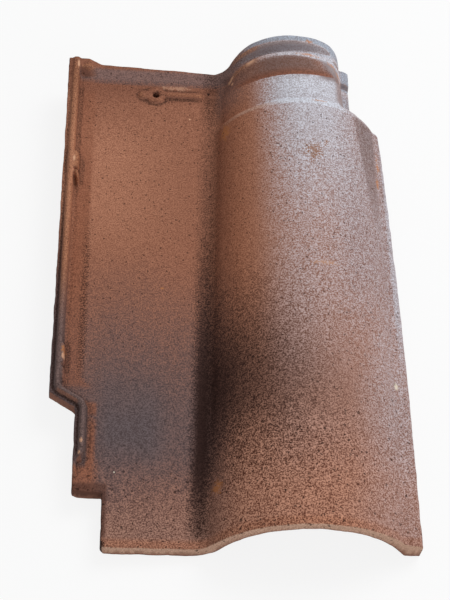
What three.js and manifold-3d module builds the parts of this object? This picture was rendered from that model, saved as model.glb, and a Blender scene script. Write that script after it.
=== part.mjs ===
// Interlocking clay roof tile: a flat pan on the left and a tapered roll on the right, pressed as
// one sheet of clay. Millimetres, +X across the slope, +Y up the slope from nose to head, +Z out
// of the roof. The tile is modelled with its pan level and its nose on y = 0, and is then set down
// on the three points that it lies on.

import * as THREE from 'three';
import { ConvexGeometry } from 'three/addons/geometries/ConvexGeometry.js';
import { mergeVertices } from 'three/addons/utils/BufferGeometryUtils.js';
import Module from 'manifold-3d';

// ---------------------------------------------------------------- driving dimensions, mm

// The pressed sheet
const tileLength = 430;
const tileWidth = 260;
const panThickness = 11.4;
const rollWall = 9;

// Roll: chord at the level of the pan's top, crown height over the pan's underside
const noseChord = 146;
const noseCrown = 60;
const stepChord = 132;
const stepCrown = 57;
const noseValleyRadius = 14;
const stepValleyRadius = 9;
const shoulderTurn = 20;
const shoulderReach = 0.5;
const rightEdgeTaper = 6;
const taperStart = 100;

// Lip along the right edge, which covers the neighbour's left margin
const noseStandOff = 2.5;
const stepStandOff = 0.3;
const noseLipTop = 29;
const stepLipTop = 21.3;
const lipFall = 1.6;
const lipChamfer = 2;
const lipUnderEase = 1;
const footBlend = 4;
const innerFootTurn = 8;
const innerFootBlend = 1.5;

// Collar at the head, which the next tile up covers; set in from the tile's right edge
const headLap = 66;
const riserRun = 6.5;
const collarEdgeInset = 27.4;
const collarFootInset = 32;
const headFootInset = 36.4;
const collarChord = 131;
const collarCrown = 53.3;
const collarCrownInset = 70;
const collarCreaseAngle = 21.5;
const collarShoulderReach = 0.15;
const collarLipTop = 17;
const collarLipThickness = 8.5;
const collarWall = 5.5;
const collarWallLead = 12;
const notchClearance = 2;
const tabLength = 15;
const tabTop = 21.2;
const tabRise = 1.2;

// The two ribs across the collar, measured back from the head edge
const ribCrown = 61.6;
const ribChord = 103.5;
const ribCrownInset = 77.8;
const ribValleyRadius = 16;
const ribCreaseAngle = 27;
const ribShoulderReach = 0.42;
const headRibWidth = 6.5;
const headRibSlope = 5;
const grooveWidth = 3.5;
const grooveFill = 0.25;
const innerRibShare = 0.35;
const secondRibBack = 3;
const secondRibWidth = 4;
const secondRibSlope = 12;

// The head edge of the pan, a little shorter towards the roll
const headSag = 4.2;
const sagLength = 88;
const sagRecovery = 24;

// Low rib along the head edge of the pan, and its raised left corner
const panRibHeight = 2;
const panRibWidth = 5;
const panRibSlope = 8;
const cornerTop = 20.4;
const cornerFlat = 16.5;
const cornerRun = 10.5;
const cornerDepth = 9;

// Left margin: cut back in two steps, with a ledge, a rib and a drain channel along it
const jogDepth = 19.3;
const jogTop = 116;
const jogFall = 11.5;
const noseCutDepth = 40.5;
const noseCutLength = 41;
const noseCornerEase = 2.5;
const ledgeWidth = 3.4;
const ledgeTop = 16.5;
const ledgeHeadTop = 19.6;
const ledgeRiseStart = 320;
const ledgeEnd = 52;
const marginUnderside = 6;
const marginUndercut = 23;
const marginUnderSlope = 6;
const marginBend = 3.5;
const ribSetBack = 3;
const ribWidth = 5.4;
const ribHeadGain = 1.3;
const ribTop = 21.2;
const ribEnd = 62;
const ribEndSlant = 5;
const lugTop = 22;
const lugTail = 11;
const headLugStart = 314;
const headLugLength = 19;
const headLugReach = 13.4;
const jogLugStart = 136;
const jogLugLength = 21;
const jogLugReach = 10.6;
const channelWidth = 16;
const channelDepth = 1.3;
const channelSlope = 3;
const channelHeadGap = 12;
const lowerChannelWidth = 8;
const lowerChannelTop = 97;
const lowerChannelEnd = 50;

// Nail hole, its boss, and the ridge from the boss to the roll
const nailX = 72.3;
const nailBack = 29.8;
const nailHoleRadius = 2.75;
const bossRadius = 7.5;
const bossHeight = 1.9;
const bossFlare = 2.2;
const tongueReach = 14.5;
const tongueWidth = 9;
const ridgeGap = 13;
const ridgeLift = 1.3;
const ridgeWidth = 6.5;

// Nibs under the head of the pan, which hook over the batten
const nibDepth = 13;
const nibBack = 8;
const nibRoot = 15;
const nibDraft = 2;
const nibWidth = 26;
const leftNibX = 20;
const nibToRoll = 18;

// Fineness
const bodySpans = 12;
const riserSpans = 4;
const ribSpans = 3;
const arcSpans = 30;
const filletSpans = 4;
const flankSpans = 2;
const bevelSpans = 1;
const edgeBevel = 1;
const overcut = 20;

// ---------------------------------------------------------------- worked-out places

const stepY = tileLength - headLap;
const lipUnderside = panThickness;
const floorStart = stepY + riserRun;
const headRibStart = tileLength - headRibWidth - headRibSlope;
const grooveStart = headRibStart - grooveWidth;
const secondRibEnd = grooveStart - secondRibBack;
const secondRibCrest = secondRibEnd - secondRibWidth;
const secondRibFoot = secondRibCrest - secondRibSlope;
const panRibFoot = tileLength - panRibWidth - panRibSlope;
const nailY = tileLength - nailBack;
const innerLead = stepY - collarWallLead;
const collarEdge = tileWidth - collarEdgeInset;
const rollLeftAtNose = tileWidth - noseStandOff - noseChord;
const rollLeftAtStep = tileWidth - rightEdgeTaper - stepStandOff - stepChord;
const ridgeEnd = rollLeftAtStep - ridgeGap;
const rightNibEnd = rollLeftAtStep - nibToRoll;
const sagStart = rollLeftAtStep - sagLength;

// ---------------------------------------------------------------- small maths

const { lerp, clamp, degToRad, smoothstep } = THREE.MathUtils;

const ramp = (value, start, end) => clamp((value - start) / (end - start), 0, 1);

// Radius of the circle that has this chord and this rise
const chordRadius = (chord, rise) => (rise * rise + (chord * chord) / 4) / (2 * rise);

// Points on an arc; the angle is measured from straight up, positive to the right
function arc(centreX, centreZ, radius, from, to, spans) {
  const points = [];
  for (let i = 0; i <= spans; i++) {
    const angle = lerp(from, to, i / spans);
    points.push(new THREE.Vector2(centreX + radius * Math.sin(angle), centreZ + radius * Math.cos(angle)));
  }
  return points;
}

// Points after the first, up to and with the last, on a straight line
function line(from, to, spans) {
  const points = [];
  for (let i = 1; i <= spans; i++) points.push(from.clone().lerp(to, i / spans));
  return points;
}

// The same path moved sideways to its right, with mitred corners
function offsetPath(path, distance) {
  return path.map((point, i) => {
    const before = path[Math.max(i - 1, 0)];
    const after = path[Math.min(i + 1, path.length - 1)];
    const incoming = point.clone().sub(i > 0 ? before : after).multiplyScalar(i > 0 ? 1 : -1).normalize();
    const outgoing = after.clone().sub(point);
    const leaving = outgoing.length() > 0 ? outgoing.normalize() : incoming;
    const normal = new THREE.Vector2(incoming.y + leaving.y, -incoming.x - leaving.x).normalize();
    const spread = normal.dot(new THREE.Vector2(incoming.y, -incoming.x));
    return point.clone().addScaledVector(normal, distance / spread);
  });
}

// ---------------------------------------------------------------- the pressed section

// Right edge of the body in plan: straight from the nose, then drawn in towards the head
function bodyEdge(y) {
  return tileWidth - rightEdgeTaper * ramp(y, taperStart, stepY) ** 2;
}

// The roll of the body at one place along the tile
function bodyRoll(y) {
  const along = clamp(y / stepY, 0, 1);
  const edge = bodyEdge(y);
  const left = lerp(rollLeftAtNose, rollLeftAtStep, along);
  const chord = edge - lerp(noseStandOff, stepStandOff, along) - left;
  const centreX = left + chord / 2;
  const crown = lerp(noseCrown, stepCrown, along);
  const radius = chordRadius(chord, crown - panThickness);
  const lipTop = lerp(noseLipTop, stepLipTop, along);
  const footAngle = Math.acos((lipTop - crown + radius) / radius);
  const innerRadius = radius - rollWall;
  const innerAngle = Math.acos((lipUnderside - crown + radius) / innerRadius);
  return {
    centreX,
    crown,
    radius,
    edge,
    lipTop,
    lipUnderside,
    footX: centreX + radius * Math.sin(footAngle),
    crease: footAngle - degToRad(shoulderTurn),
    reach: shoulderReach,
    innerFootX: centreX + innerRadius * Math.sin(innerAngle) + innerFootBlend,
    innerCrease: innerAngle - degToRad(innerFootTurn),
    valley: lerp(noseValleyRadius, stepValleyRadius, along),
  };
}

// The collar, from its floor (share 0) to the crest of a rib (share 1)
function collarRoll(y, share, lipTop) {
  const chord = lerp(collarChord, ribChord, share);
  const crown = lerp(collarCrown, ribCrown, share);
  const crease = degToRad(lerp(collarCreaseAngle, ribCreaseAngle, share));
  const footX = tileWidth - lerp(collarFootInset, headFootInset, ramp(y, floorStart, tileLength));
  return {
    centreX: tileWidth - lerp(collarCrownInset, ribCrownInset, share),
    crown,
    radius: chordRadius(chord, crown - panThickness),
    edge: collarEdge,
    lipTop,
    lipUnderside: collarLipTop - collarLipThickness,
    footX,
    crease,
    reach: lerp(collarShoulderReach, ribShoulderReach, share),
    innerFootX: footX - collarWall,
    innerCrease: crease,
    valley: lerp(stepValleyRadius, ribValleyRadius, share),
  };
}

function blendRolls(first, second, share) {
  const blended = {};
  for (const key of Object.keys(first)) blended[key] = lerp(first[key], second[key], share);
  return blended;
}

// How far the collar's outside has risen from its floor to a rib's crest
function ribShare(y) {
  const second = smoothstep(y, secondRibFoot, secondRibCrest);
  const groove = (1 - grooveFill) * smoothstep(y, secondRibEnd, secondRibEnd + secondRibBack);
  const head = (1 - grooveFill) * smoothstep(y, headRibStart, headRibStart + headRibSlope);
  return second - groove + head;
}

function outerRoll(y) {
  const tabStart = tileLength - tabLength;
  const lipTop = lerp(collarLipTop, tabTop, ramp(y, tabStart - tabRise, tabStart));
  return blendRolls(bodyRoll(y), collarRoll(y, ribShare(y), lipTop), smoothstep(y, stepY, floorStart));
}

function innerRoll(y) {
  const share = innerRibShare * ramp(y, secondRibFoot, secondRibCrest);
  const drop = ramp(y, innerLead, innerLead + riserRun);
  return blendRolls(bodyRoll(y), collarRoll(y, share, collarLipTop), drop);
}

// From the end of the crown arc over the shoulder, down the flank and out on to the lip
function flank(crown, roll) {
  const [before, start] = crown.slice(-2);
  const foot = new THREE.Vector2(roll.footX, roll.lipTop);
  const tangent = start.clone().sub(before).normalize();
  const corner = start.clone().addScaledVector(tangent, roll.reach * start.distanceTo(foot));
  const footTop = foot.clone().add(corner.clone().sub(foot).setLength(footBlend));
  const shelf = new THREE.Vector2(Math.min(roll.footX + footBlend, roll.edge - 2 * lipChamfer), roll.lipTop);
  return [
    ...new THREE.QuadraticBezierCurve(start, corner, footTop).getPoints(2 * filletSpans).slice(1),
    ...new THREE.QuadraticBezierCurve(footTop, foot, shelf).getPoints(filletSpans).slice(1),
  ];
}

// Upper side of the section, from the left edge to the right edge
function upperProfile(y) {
  const roll = outerRoll(y);
  const panTop = panThickness + panRibHeight * smoothstep(y, panRibFoot, panRibFoot + panRibSlope);
  const centreZ = roll.crown - roll.radius;
  const rise = panTop + roll.valley - centreZ;
  const valleyX = roll.centreX - Math.sqrt((roll.radius + roll.valley) ** 2 - rise * rise);
  const turn = Math.atan2(roll.centreX - valleyX, rise);
  const valley = arc(valleyX, panTop + roll.valley, roll.valley, Math.PI, Math.PI - turn, filletSpans);
  const crown = arc(roll.centreX, centreZ, roll.radius, -turn, roll.crease, arcSpans);
  return [
    new THREE.Vector2(0, panTop),
    ...valley,
    ...crown.slice(1),
    ...flank(crown, roll),
    new THREE.Vector2(roll.edge - lipChamfer, roll.lipTop - lipFall),
    new THREE.Vector2(roll.edge, roll.lipTop - lipFall - lipChamfer),
  ];
}

// Lower side of the section, from the right edge to the left edge; it keeps the sheet's thickness
// round the valley
function lowerProfile(y) {
  const outer = outerRoll(y);
  const roll = innerRoll(y);
  const radius = roll.radius - rollWall;
  const centreZ = roll.crown - roll.radius;
  const bend = roll.valley + panThickness;
  const rise = bend - centreZ;
  const valleyX = roll.centreX - Math.sqrt((radius + bend) ** 2 - rise * rise);
  const turn = Math.atan2(roll.centreX - valleyX, rise);
  const crown = arc(roll.centreX, centreZ, radius, roll.innerCrease, -turn, arcSpans);
  const foot = new THREE.Vector2(roll.innerFootX, roll.lipUnderside);
  const valley = arc(valleyX, bend, bend, Math.PI - turn, Math.PI, filletSpans);
  return [
    new THREE.Vector2(outer.edge, outer.lipUnderside + lipUnderEase),
    new THREE.Vector2(outer.edge - lipUnderEase, outer.lipUnderside),
    foot,
    ...line(foot, crown[0], flankSpans),
    ...crown.slice(1),
    ...valley.slice(1),
    new THREE.Vector2(0, 0),
  ];
}

// ---------------------------------------------------------------- solids

const wasm = await Module();
wasm.setup();

function solid(geometry) {
  const bare = geometry.clone();
  bare.deleteAttribute('normal');
  bare.deleteAttribute('uv');
  const merged = mergeVertices(bare, 1e-4);
  return new wasm.Manifold(new wasm.Mesh({
    numProp: 3,
    vertProperties: new Float32Array(merged.attributes.position.array),
    triVerts: new Uint32Array(merged.index.array),
  }));
}

// A closed skin through the same section at many places along the tile
function loft(stations, sectionAt) {
  const sections = stations.map(sectionAt);
  const count = sections[0].length;
  const positions = [];
  const index = [];
  sections.forEach((section, s) => section.forEach((point) => positions.push(point.x, stations[s], point.y)));
  for (let s = 0; s + 1 < sections.length; s++) {
    for (let i = 0; i < count; i++) {
      const a = s * count + i;
      const b = s * count + ((i + 1) % count);
      index.push(a, b, a + count, b, b + count, a + count);
    }
  }
  const last = (sections.length - 1) * count;
  for (const [a, b, c] of THREE.ShapeUtils.triangulateShape(sections[0], [])) index.push(a, b, c);
  for (const [a, b, c] of THREE.ShapeUtils.triangulateShape(sections.at(-1), [])) {
    index.push(last + a, last + c, last + b);
  }
  const geometry = new THREE.BufferGeometry();
  geometry.setAttribute('position', new THREE.Float32BufferAttribute(positions, 3));
  geometry.setIndex(index);
  return solid(geometry);
}

// A plan outline raised from one level to another, with its top edge bevelled inwards
function raised(outline, from, to, bevel = edgeBevel, slope = bevel) {
  const geometry = new THREE.ExtrudeGeometry(new THREE.Shape(outline), {
    depth: to - from - 2 * bevel,
    bevelThickness: bevel,
    bevelSize: slope,
    bevelOffset: -slope,
    bevelSegments: bevelSpans,
  });
  return solid(geometry.translate(0, 0, from + bevel));
}

const prism = (outline, depth) => (
  new THREE.ExtrudeGeometry(new THREE.Shape(outline), { depth, bevelEnabled: false })
);

// A plain prism on a plan outline
function block(outline, from, to) {
  return solid(prism(outline, to - from).translate(0, 0, from));
}

// A prism on an outline drawn across the tile, run along it
function run(outline, from, to) {
  return solid(prism(outline, to - from).rotateX(Math.PI / 2).translate(0, to, 0));
}

// A prism on an outline drawn along the tile in y and z, run across it
function across(outline, from, to) {
  return solid(prism(outline, to - from).rotateX(Math.PI / 2).rotateZ(Math.PI / 2).translate(from, 0, 0));
}

const corners = (pairs) => pairs.map(([x, y]) => new THREE.Vector2(x, y));

// ---------------------------------------------------------------- the tile's features

// Places from one to the other, in equal spans
const spread = (from, to, spans) => Array.from({ length: spans + 1 }, (_, i) => lerp(from, to, i / spans));

function sheet() {
  const stations = [
    ...spread(0, innerLead, bodySpans),
    innerLead + riserRun,
    ...spread(stepY, floorStart, riserSpans),
    ...spread(secondRibFoot, secondRibCrest, riserSpans),
    ...spread(secondRibEnd, secondRibEnd + secondRibBack, ribSpans),
    ...spread(panRibFoot, panRibFoot + panRibSlope, ribSpans),
    ...spread(headRibStart, headRibStart + headRibSlope, ribSpans),
    tileLength - tabLength - tabRise,
    tileLength - tabLength,
    tileLength,
  ];
  const ordered = [...new Set(stations)].sort((a, b) => a - b);
  return loft(ordered, (y) => [...upperProfile(y), ...lowerProfile(y)]);
}

// The head edge runs a little short beside the roll
function headTrim() {
  const beyond = tileLength + overcut;
  const outline = corners([
    [sagStart, tileLength], [rollLeftAtStep, tileLength - headSag],
    [rollLeftAtStep + sagRecovery, tileLength], [rollLeftAtStep + sagRecovery, beyond], [sagStart, beyond],
  ]);
  return block(outline, -overcut, ribCrown + overcut);
}

// The two steps cut back at the lower left corner
function leftCuts() {
  const jog = corners([
    [-overcut, -overcut], [jogDepth, -overcut], [jogDepth, jogTop - jogFall], [0, jogTop], [-overcut, jogTop],
  ]);
  const nose = corners([
    [-overcut, -overcut], [noseCutDepth + noseCornerEase, -overcut], [noseCutDepth + noseCornerEase, 0],
    [noseCutDepth, noseCornerEase], [noseCutDepth, noseCutLength], [-overcut, noseCutLength],
  ]);
  return block(jog, -overcut, ribTop + overcut).add(block(nose, -overcut, ribTop + overcut));
}

// The upper right corner, open for the neighbour's left margin to pass beside the collar
function rightNotch() {
  const reach = tileWidth + overcut;
  const corner = corners([
    [collarEdge, stepY + notchClearance], [reach, stepY + notchClearance],
    [reach, tileLength + overcut], [collarEdge, tileLength + overcut],
  ]);
  const roll = bodyRoll(stepY);
  const radius = roll.radius - rollWall;
  const centreZ = roll.crown - roll.radius;
  const from = Math.asin((collarEdge + notchClearance - roll.centreX) / radius);
  const to = Math.acos((lipUnderside - centreZ) / radius);
  const hollow = arc(roll.centreX, centreZ, radius, from, to, filletSpans);
  const start = new THREE.Vector2(hollow[0].x, -overcut);
  const end = new THREE.Vector2(hollow[filletSpans].x, -overcut);
  return block(corner, -overcut, ribCrown + overcut)
    .add(run([start, end, ...hollow.reverse()], innerLead - riserRun, stepY + overcut));
}

// Plan line along the left edge, a distance inside it, from the head towards the second step
function marginLine(distance, end) {
  const edge = corners([[0, tileLength], [0, jogTop], [jogDepth, jogTop - jogFall], [jogDepth, end]]);
  return offsetPath(edge, -distance);
}

// A path with its bends eased
function eased(path) {
  const bends = path.slice(1, -1).flatMap((corner, i) => {
    const before = path[i].clone().sub(corner).setLength(marginBend).add(corner);
    const after = path[i + 2].clone().sub(corner).setLength(marginBend).add(corner);
    return new THREE.QuadraticBezierCurve(before, corner, after).getPoints(filletSpans);
  });
  return [path[0], ...bends, path.at(-1)];
}

// The low outer ledge, which rises towards the head
function marginLedge() {
  const buried = panThickness / 2;
  const inner = eased(marginLine(ledgeWidth, ledgeEnd));
  const rise = corners([
    [ledgeRiseStart, buried], [ledgeRiseStart, ledgeTop], [tileLength, ledgeHeadTop], [tileLength, buried],
  ]);
  return block([...marginLine(0, ledgeEnd), ...inner.reverse()], buried, ledgeTop)
    .add(across(rise, 0, ledgeWidth));
}

// The rib widens a little towards the head, and its end is cut off at a slant
function marginRib() {
  const outer = eased(marginLine(ribSetBack, ribEnd));
  const inner = eased(marginLine(ribSetBack + ribWidth, ribEnd + ribEndSlant));
  inner[0].x += ribHeadGain;
  return raised([...outer, ...inner.reverse()], panThickness / 2, ribTop);
}

// Thickened stretch of the rib that the neighbour's lip bears on, with a tail along its right side
function ribLug(start, length, reach) {
  const ribInner = ribSetBack + ribWidth;
  const outline = corners([
    [ribSetBack, start], [ribInner, start], [reach, start - lugTail],
    [reach, start + length - reach + ribInner], [ribInner, start + length], [ribSetBack, start + length],
  ]);
  return raised(outline, panThickness / 2, lugTop);
}

const ribLugs = () => (
  ribLug(headLugStart, headLugLength, headLugReach).add(ribLug(jogLugStart, jogLugLength, jogLugReach))
);

// The underside is raised along the margin, with a sloping side, to clear the neighbour's lip
function marginHollow() {
  const band = corners([
    [-overcut, noseCutLength - overcut], [marginUndercut, noseCutLength - overcut],
    [marginUndercut, tileLength + overcut], [-overcut, tileLength + overcut],
  ]);
  return raised(band, -overcut, marginUnderside, marginUnderside, marginUnderSlope);
}

function drainChannels() {
  const near = ribSetBack + ribWidth;
  const floor = panThickness - channelDepth;
  const upper = corners([
    [near, jogTop + near], [near + channelWidth, jogTop + near - jogFall / 2],
    [near + channelWidth, panRibFoot - channelHeadGap], [near, panRibFoot - channelHeadGap],
  ]);
  const left = jogDepth + near;
  const right = left + lowerChannelWidth;
  const outer = jogDepth + ledgeWidth;
  const lower = corners([
    [left, lowerChannelTop + lowerChannelWidth], [left, ribEnd + ribEndSlant], [outer, ribEnd],
    [outer, lowerChannelEnd], [right, lowerChannelEnd], [right, lowerChannelTop],
  ]);
  return raised(upper, floor, ribTop + overcut, channelDepth, channelSlope)
    .add(raised(lower, floor, ribTop + overcut, channelDepth, channelSlope));
}

// Raised corner where the side rib meets the head rib: each station across it has a slope that
// starts at the foot of the head rib, and a flat from its crest to the head edge
function headCorner() {
  const station = (x, top, depth) => [
    new THREE.Vector3(x, panRibFoot, panThickness / 2),
    new THREE.Vector3(x, panRibFoot, panThickness),
    new THREE.Vector3(x, tileLength - depth, top),
    new THREE.Vector3(x, tileLength, top),
    new THREE.Vector3(x, tileLength, panThickness / 2),
  ];
  return solid(new ConvexGeometry([
    ...station(0, ledgeHeadTop, cornerDepth),
    ...station(ribSetBack, cornerTop, cornerDepth),
    ...station(cornerFlat, cornerTop, cornerDepth),
    ...station(cornerFlat + cornerRun, panThickness + panRibHeight, panRibWidth),
  ]));
}

// Capsule outline between two points along x
function capsule(fromX, toX, y, width) {
  const shape = new THREE.Shape();
  shape.absarc(toX, y, width / 2, -Math.PI / 2, Math.PI / 2);
  shape.absarc(fromX, y, width / 2, Math.PI / 2, (Math.PI * 3) / 2);
  return shape.getPoints(6).slice(0, -1);
}

function nailBoss() {
  const top = panThickness + bossHeight;
  const bottom = panThickness / 2;
  const boss = new THREE.CylinderGeometry(bossRadius, bossRadius + bossFlare, bossHeight * 2, 24);
  const seat = solid(boss.rotateX(Math.PI / 2).translate(nailX, nailY, panThickness));
  const tongueEnd = nailX - tongueReach + tongueWidth / 2;
  const tongue = raised(capsule(tongueEnd, nailX, nailY, tongueWidth), bottom, top);
  const ridge = raised(capsule(nailX, ridgeEnd, nailY + ridgeLift, ridgeWidth), bottom, top);
  return seat.add(tongue).add(ridge);
}

function nailHole() {
  const drill = new THREE.CylinderGeometry(nailHoleRadius, nailHoleRadius, 4 * overcut, 20);
  return solid(drill.rotateX(Math.PI / 2).translate(nailX, nailY, 0));
}

// One hooked nib: a straight face towards the nose, and a sloped back
function nib(x) {
  const face = tileLength - nibBack - nibRoot;
  const outline = corners([
    [face, panThickness / 2], [face, -nibDepth], [face + nibRoot - 2 * nibDraft, -nibDepth],
    [face + nibRoot, 0], [face + nibRoot, panThickness / 2],
  ]);
  return across(outline, x, x + nibWidth);
}

// ---------------------------------------------------------------- one fired piece

function pressedTile() {
  return sheet()
    .add(marginLedge())
    .subtract(drainChannels())
    .add(marginRib())
    .add(ribLugs())
    .add(headCorner())
    .add(nailBoss())
    .add(nib(leftNibX))
    .add(nib(rightNibEnd - nibWidth))
    .subtract(marginHollow())
    .subtract(leftCuts())
    .subtract(rightNotch())
    .subtract(headTrim())
    .subtract(nailHole());
}

function toGeometry(manifold) {
  const mesh = manifold.getMesh();
  const geometry = new THREE.BufferGeometry();
  geometry.setAttribute('position', new THREE.BufferAttribute(mesh.vertProperties, 3));
  geometry.setIndex(new THREE.BufferAttribute(mesh.triVerts, 1));
  return geometry;
}

// The tile lies on the near edge of its right nib, the inner edge of its pan's nose and the outer
// corner of its lip. Turning the plane through these three points level gives its place at rest.
function restBasis() {
  const nibEdge = new THREE.Vector3(rightNibEnd, tileLength - nibBack - nibRoot, -nibDepth);
  const flatEnd = lowerProfile(0).at(-2);
  const panEdge = new THREE.Vector3(flatEnd.x, 0, flatEnd.y);
  const lipEdge = new THREE.Vector3(bodyEdge(0) - lipUnderEase, 0, lipUnderside);
  const up = lipEdge.clone().sub(panEdge).cross(nibEdge.clone().sub(panEdge)).normalize();
  const slope = new THREE.Vector3(0, 1, 0).projectOnPlane(up).normalize();
  const side = slope.clone().cross(up);
  return new THREE.Matrix4().makeBasis(side, slope, up).transpose();
}

const firedClay = new THREE.MeshStandardMaterial({ color: 0x7d5648, roughness: 0.8, metalness: 0 });

const model = new THREE.Group();
const tile = new THREE.Mesh(toGeometry(pressedTile()), firedClay);
tile.name = 'roof_tile';
tile.quaternion.setFromRotationMatrix(restBasis());
const lying = new THREE.Box3().setFromObject(tile, true);
const middle = lying.getCenter(new THREE.Vector3());
tile.position.set(-middle.x, -middle.y, -lying.min.z);
model.add(tile);

export default model;
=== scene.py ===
"""One interlocking clay roof tile, lying on a plain pale floor.

The tile is one fired piece. Its faces are laid out as relief maps over the tile's plan: the
height of the upper face, the height of the under face and the distance to the outline. Each
feature presses its own form into those maps. The maps are joined into one rounded body, the body
is meshed, and the mesh is set down where the frame's node lies. The finish is fired clay with a
flashed band, a pale bloom on the roll and worn edges, with painted sheen on the roll and collar
and painted shade on walls, flanks and creases, all worked out from places on the tile.

Sizes are in millimetres in the tile's own frame: +X across the slope, +Y up the slope from nose
to head, +Z out of the roof. Metres are used only once the tile is set down.
"""

from __future__ import annotations

import logging
from abc import ABC, abstractmethod
from dataclasses import dataclass, field, fields
from enum import Enum
from typing import Callable, Iterable, Sequence, Union

import bpy
import numpy as np
from mathutils import Matrix, Vector


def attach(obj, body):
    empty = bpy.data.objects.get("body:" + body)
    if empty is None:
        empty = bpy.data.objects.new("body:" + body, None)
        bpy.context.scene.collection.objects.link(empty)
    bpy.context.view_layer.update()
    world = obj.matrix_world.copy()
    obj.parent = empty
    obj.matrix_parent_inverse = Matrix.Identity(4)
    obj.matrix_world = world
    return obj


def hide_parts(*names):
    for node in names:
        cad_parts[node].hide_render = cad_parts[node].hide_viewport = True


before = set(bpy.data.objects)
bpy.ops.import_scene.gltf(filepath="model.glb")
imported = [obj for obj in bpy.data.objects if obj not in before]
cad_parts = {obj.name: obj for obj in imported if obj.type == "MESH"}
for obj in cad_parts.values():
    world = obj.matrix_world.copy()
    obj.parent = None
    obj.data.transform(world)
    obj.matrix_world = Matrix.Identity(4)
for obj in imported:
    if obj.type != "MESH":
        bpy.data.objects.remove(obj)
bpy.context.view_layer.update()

log = logging.getLogger("tile")

NODE = "roof_tile"
SLOT = "fired_clay"
METRES_PER_MM = 0.001
IMAGE_HEIGHT = 600
SENSOR_HEIGHT = 36.0

Array = np.ndarray
Colour = tuple[float, float, float]
Rise = tuple[float, float]
Stretch = tuple[float, ...]

WHITE: Colour = (1.0, 1.0, 1.0)


# ------------------------------------------------------------------------------ small maths


def ramp(value: Array, start: Array, end: Array) -> Array:
    """How far a value has come from start to end, held between 0 and 1."""
    return np.clip((value - start) / (end - start), 0.0, 1.0)


def ease(value: Array, start: Array, end: Array) -> Array:
    """The same as ramp, with a soft start and end."""
    share = ramp(value, start, end)
    return share * share * (3.0 - 2.0 * share)


def lerp(first: Array, second: Array, share: Array) -> Array:
    """Blend of two values."""
    return first + (second - first) * share


def smooth_max(first: Array, second: Array, radius: float) -> Array:
    """Larger of two values, with the crease between them rounded over a radius."""
    overlap = np.clip(radius - np.abs(first - second), 0.0, None)
    return np.maximum(first, second) + overlap * overlap / (4.0 * radius)


def smooth_min(first: Array, second: Array, radius: float) -> Array:
    """Smaller of two values, with the crease between them rounded over a radius."""
    return -smooth_max(-first, -second, radius)


def band(value: Array, start: float, end: float, slope: float) -> Array:
    """1 between start and end, falling to 0 over a slope on either side, inside the band."""
    return ease(value, start, start + slope) * (1.0 - ease(value, end - slope, end))


def chord_radius(chord: Array, rise: Array) -> Array:
    """Radius of the circle that has this chord and this rise."""
    return (rise * rise + chord * chord / 4.0) / (2.0 * rise)


def curve_height(x: Array, start: tuple, corner: tuple, end: tuple) -> Array:
    """Height of a quadratic curve where it passes a place across the tile.

    Args:
        x: places across the tile.
        start: x and z of the curve's start.
        corner: x and z of its control point.
        end: x and z of its end.

    Returns:
        The curve's z at each x.
    """
    bend = start[0] - 2.0 * corner[0] + end[0]
    lean = 2.0 * (corner[0] - start[0])
    way = x - start[0]
    root = np.sqrt(np.clip(lean * lean + 4.0 * bend * way, 0.0, None))
    share = np.clip(2.0 * way / np.maximum(lean + root, 1e-6), 0.0, 1.0)
    rest = 1.0 - share
    return rest * rest * start[1] + 2.0 * share * rest * corner[1] + share * share * end[1]


def unevenness(x: Array, y: Array, size: float, seed: int) -> Array:
    """Smooth, seeded unevenness between -1 and 1.

    Args:
        x: places across the tile.
        y: places along the tile.
        size: distance over which it changes.
        seed: picks one pattern.

    Returns:
        The value at each place.
    """
    lattice = np.random.default_rng(seed).uniform(-1.0, 1.0, (64, 64))
    column = np.floor(x / size).astype(int)
    row = np.floor(y / size).astype(int)
    across = ease(x / size - column, 0.0, 1.0)
    along = ease(y / size - row, 0.0, 1.0)

    def knot(right: int, up: int) -> Array:
        """Lattice value at a neighbouring knot."""
        return lattice[(row + up) % 64, (column + right) % 64]

    near = lerp(knot(0, 0), knot(1, 0), across)
    far = lerp(knot(0, 1), knot(1, 1), across)
    return lerp(near, far, along)


# ------------------------------------------------------------------------------ relief maps


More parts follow.
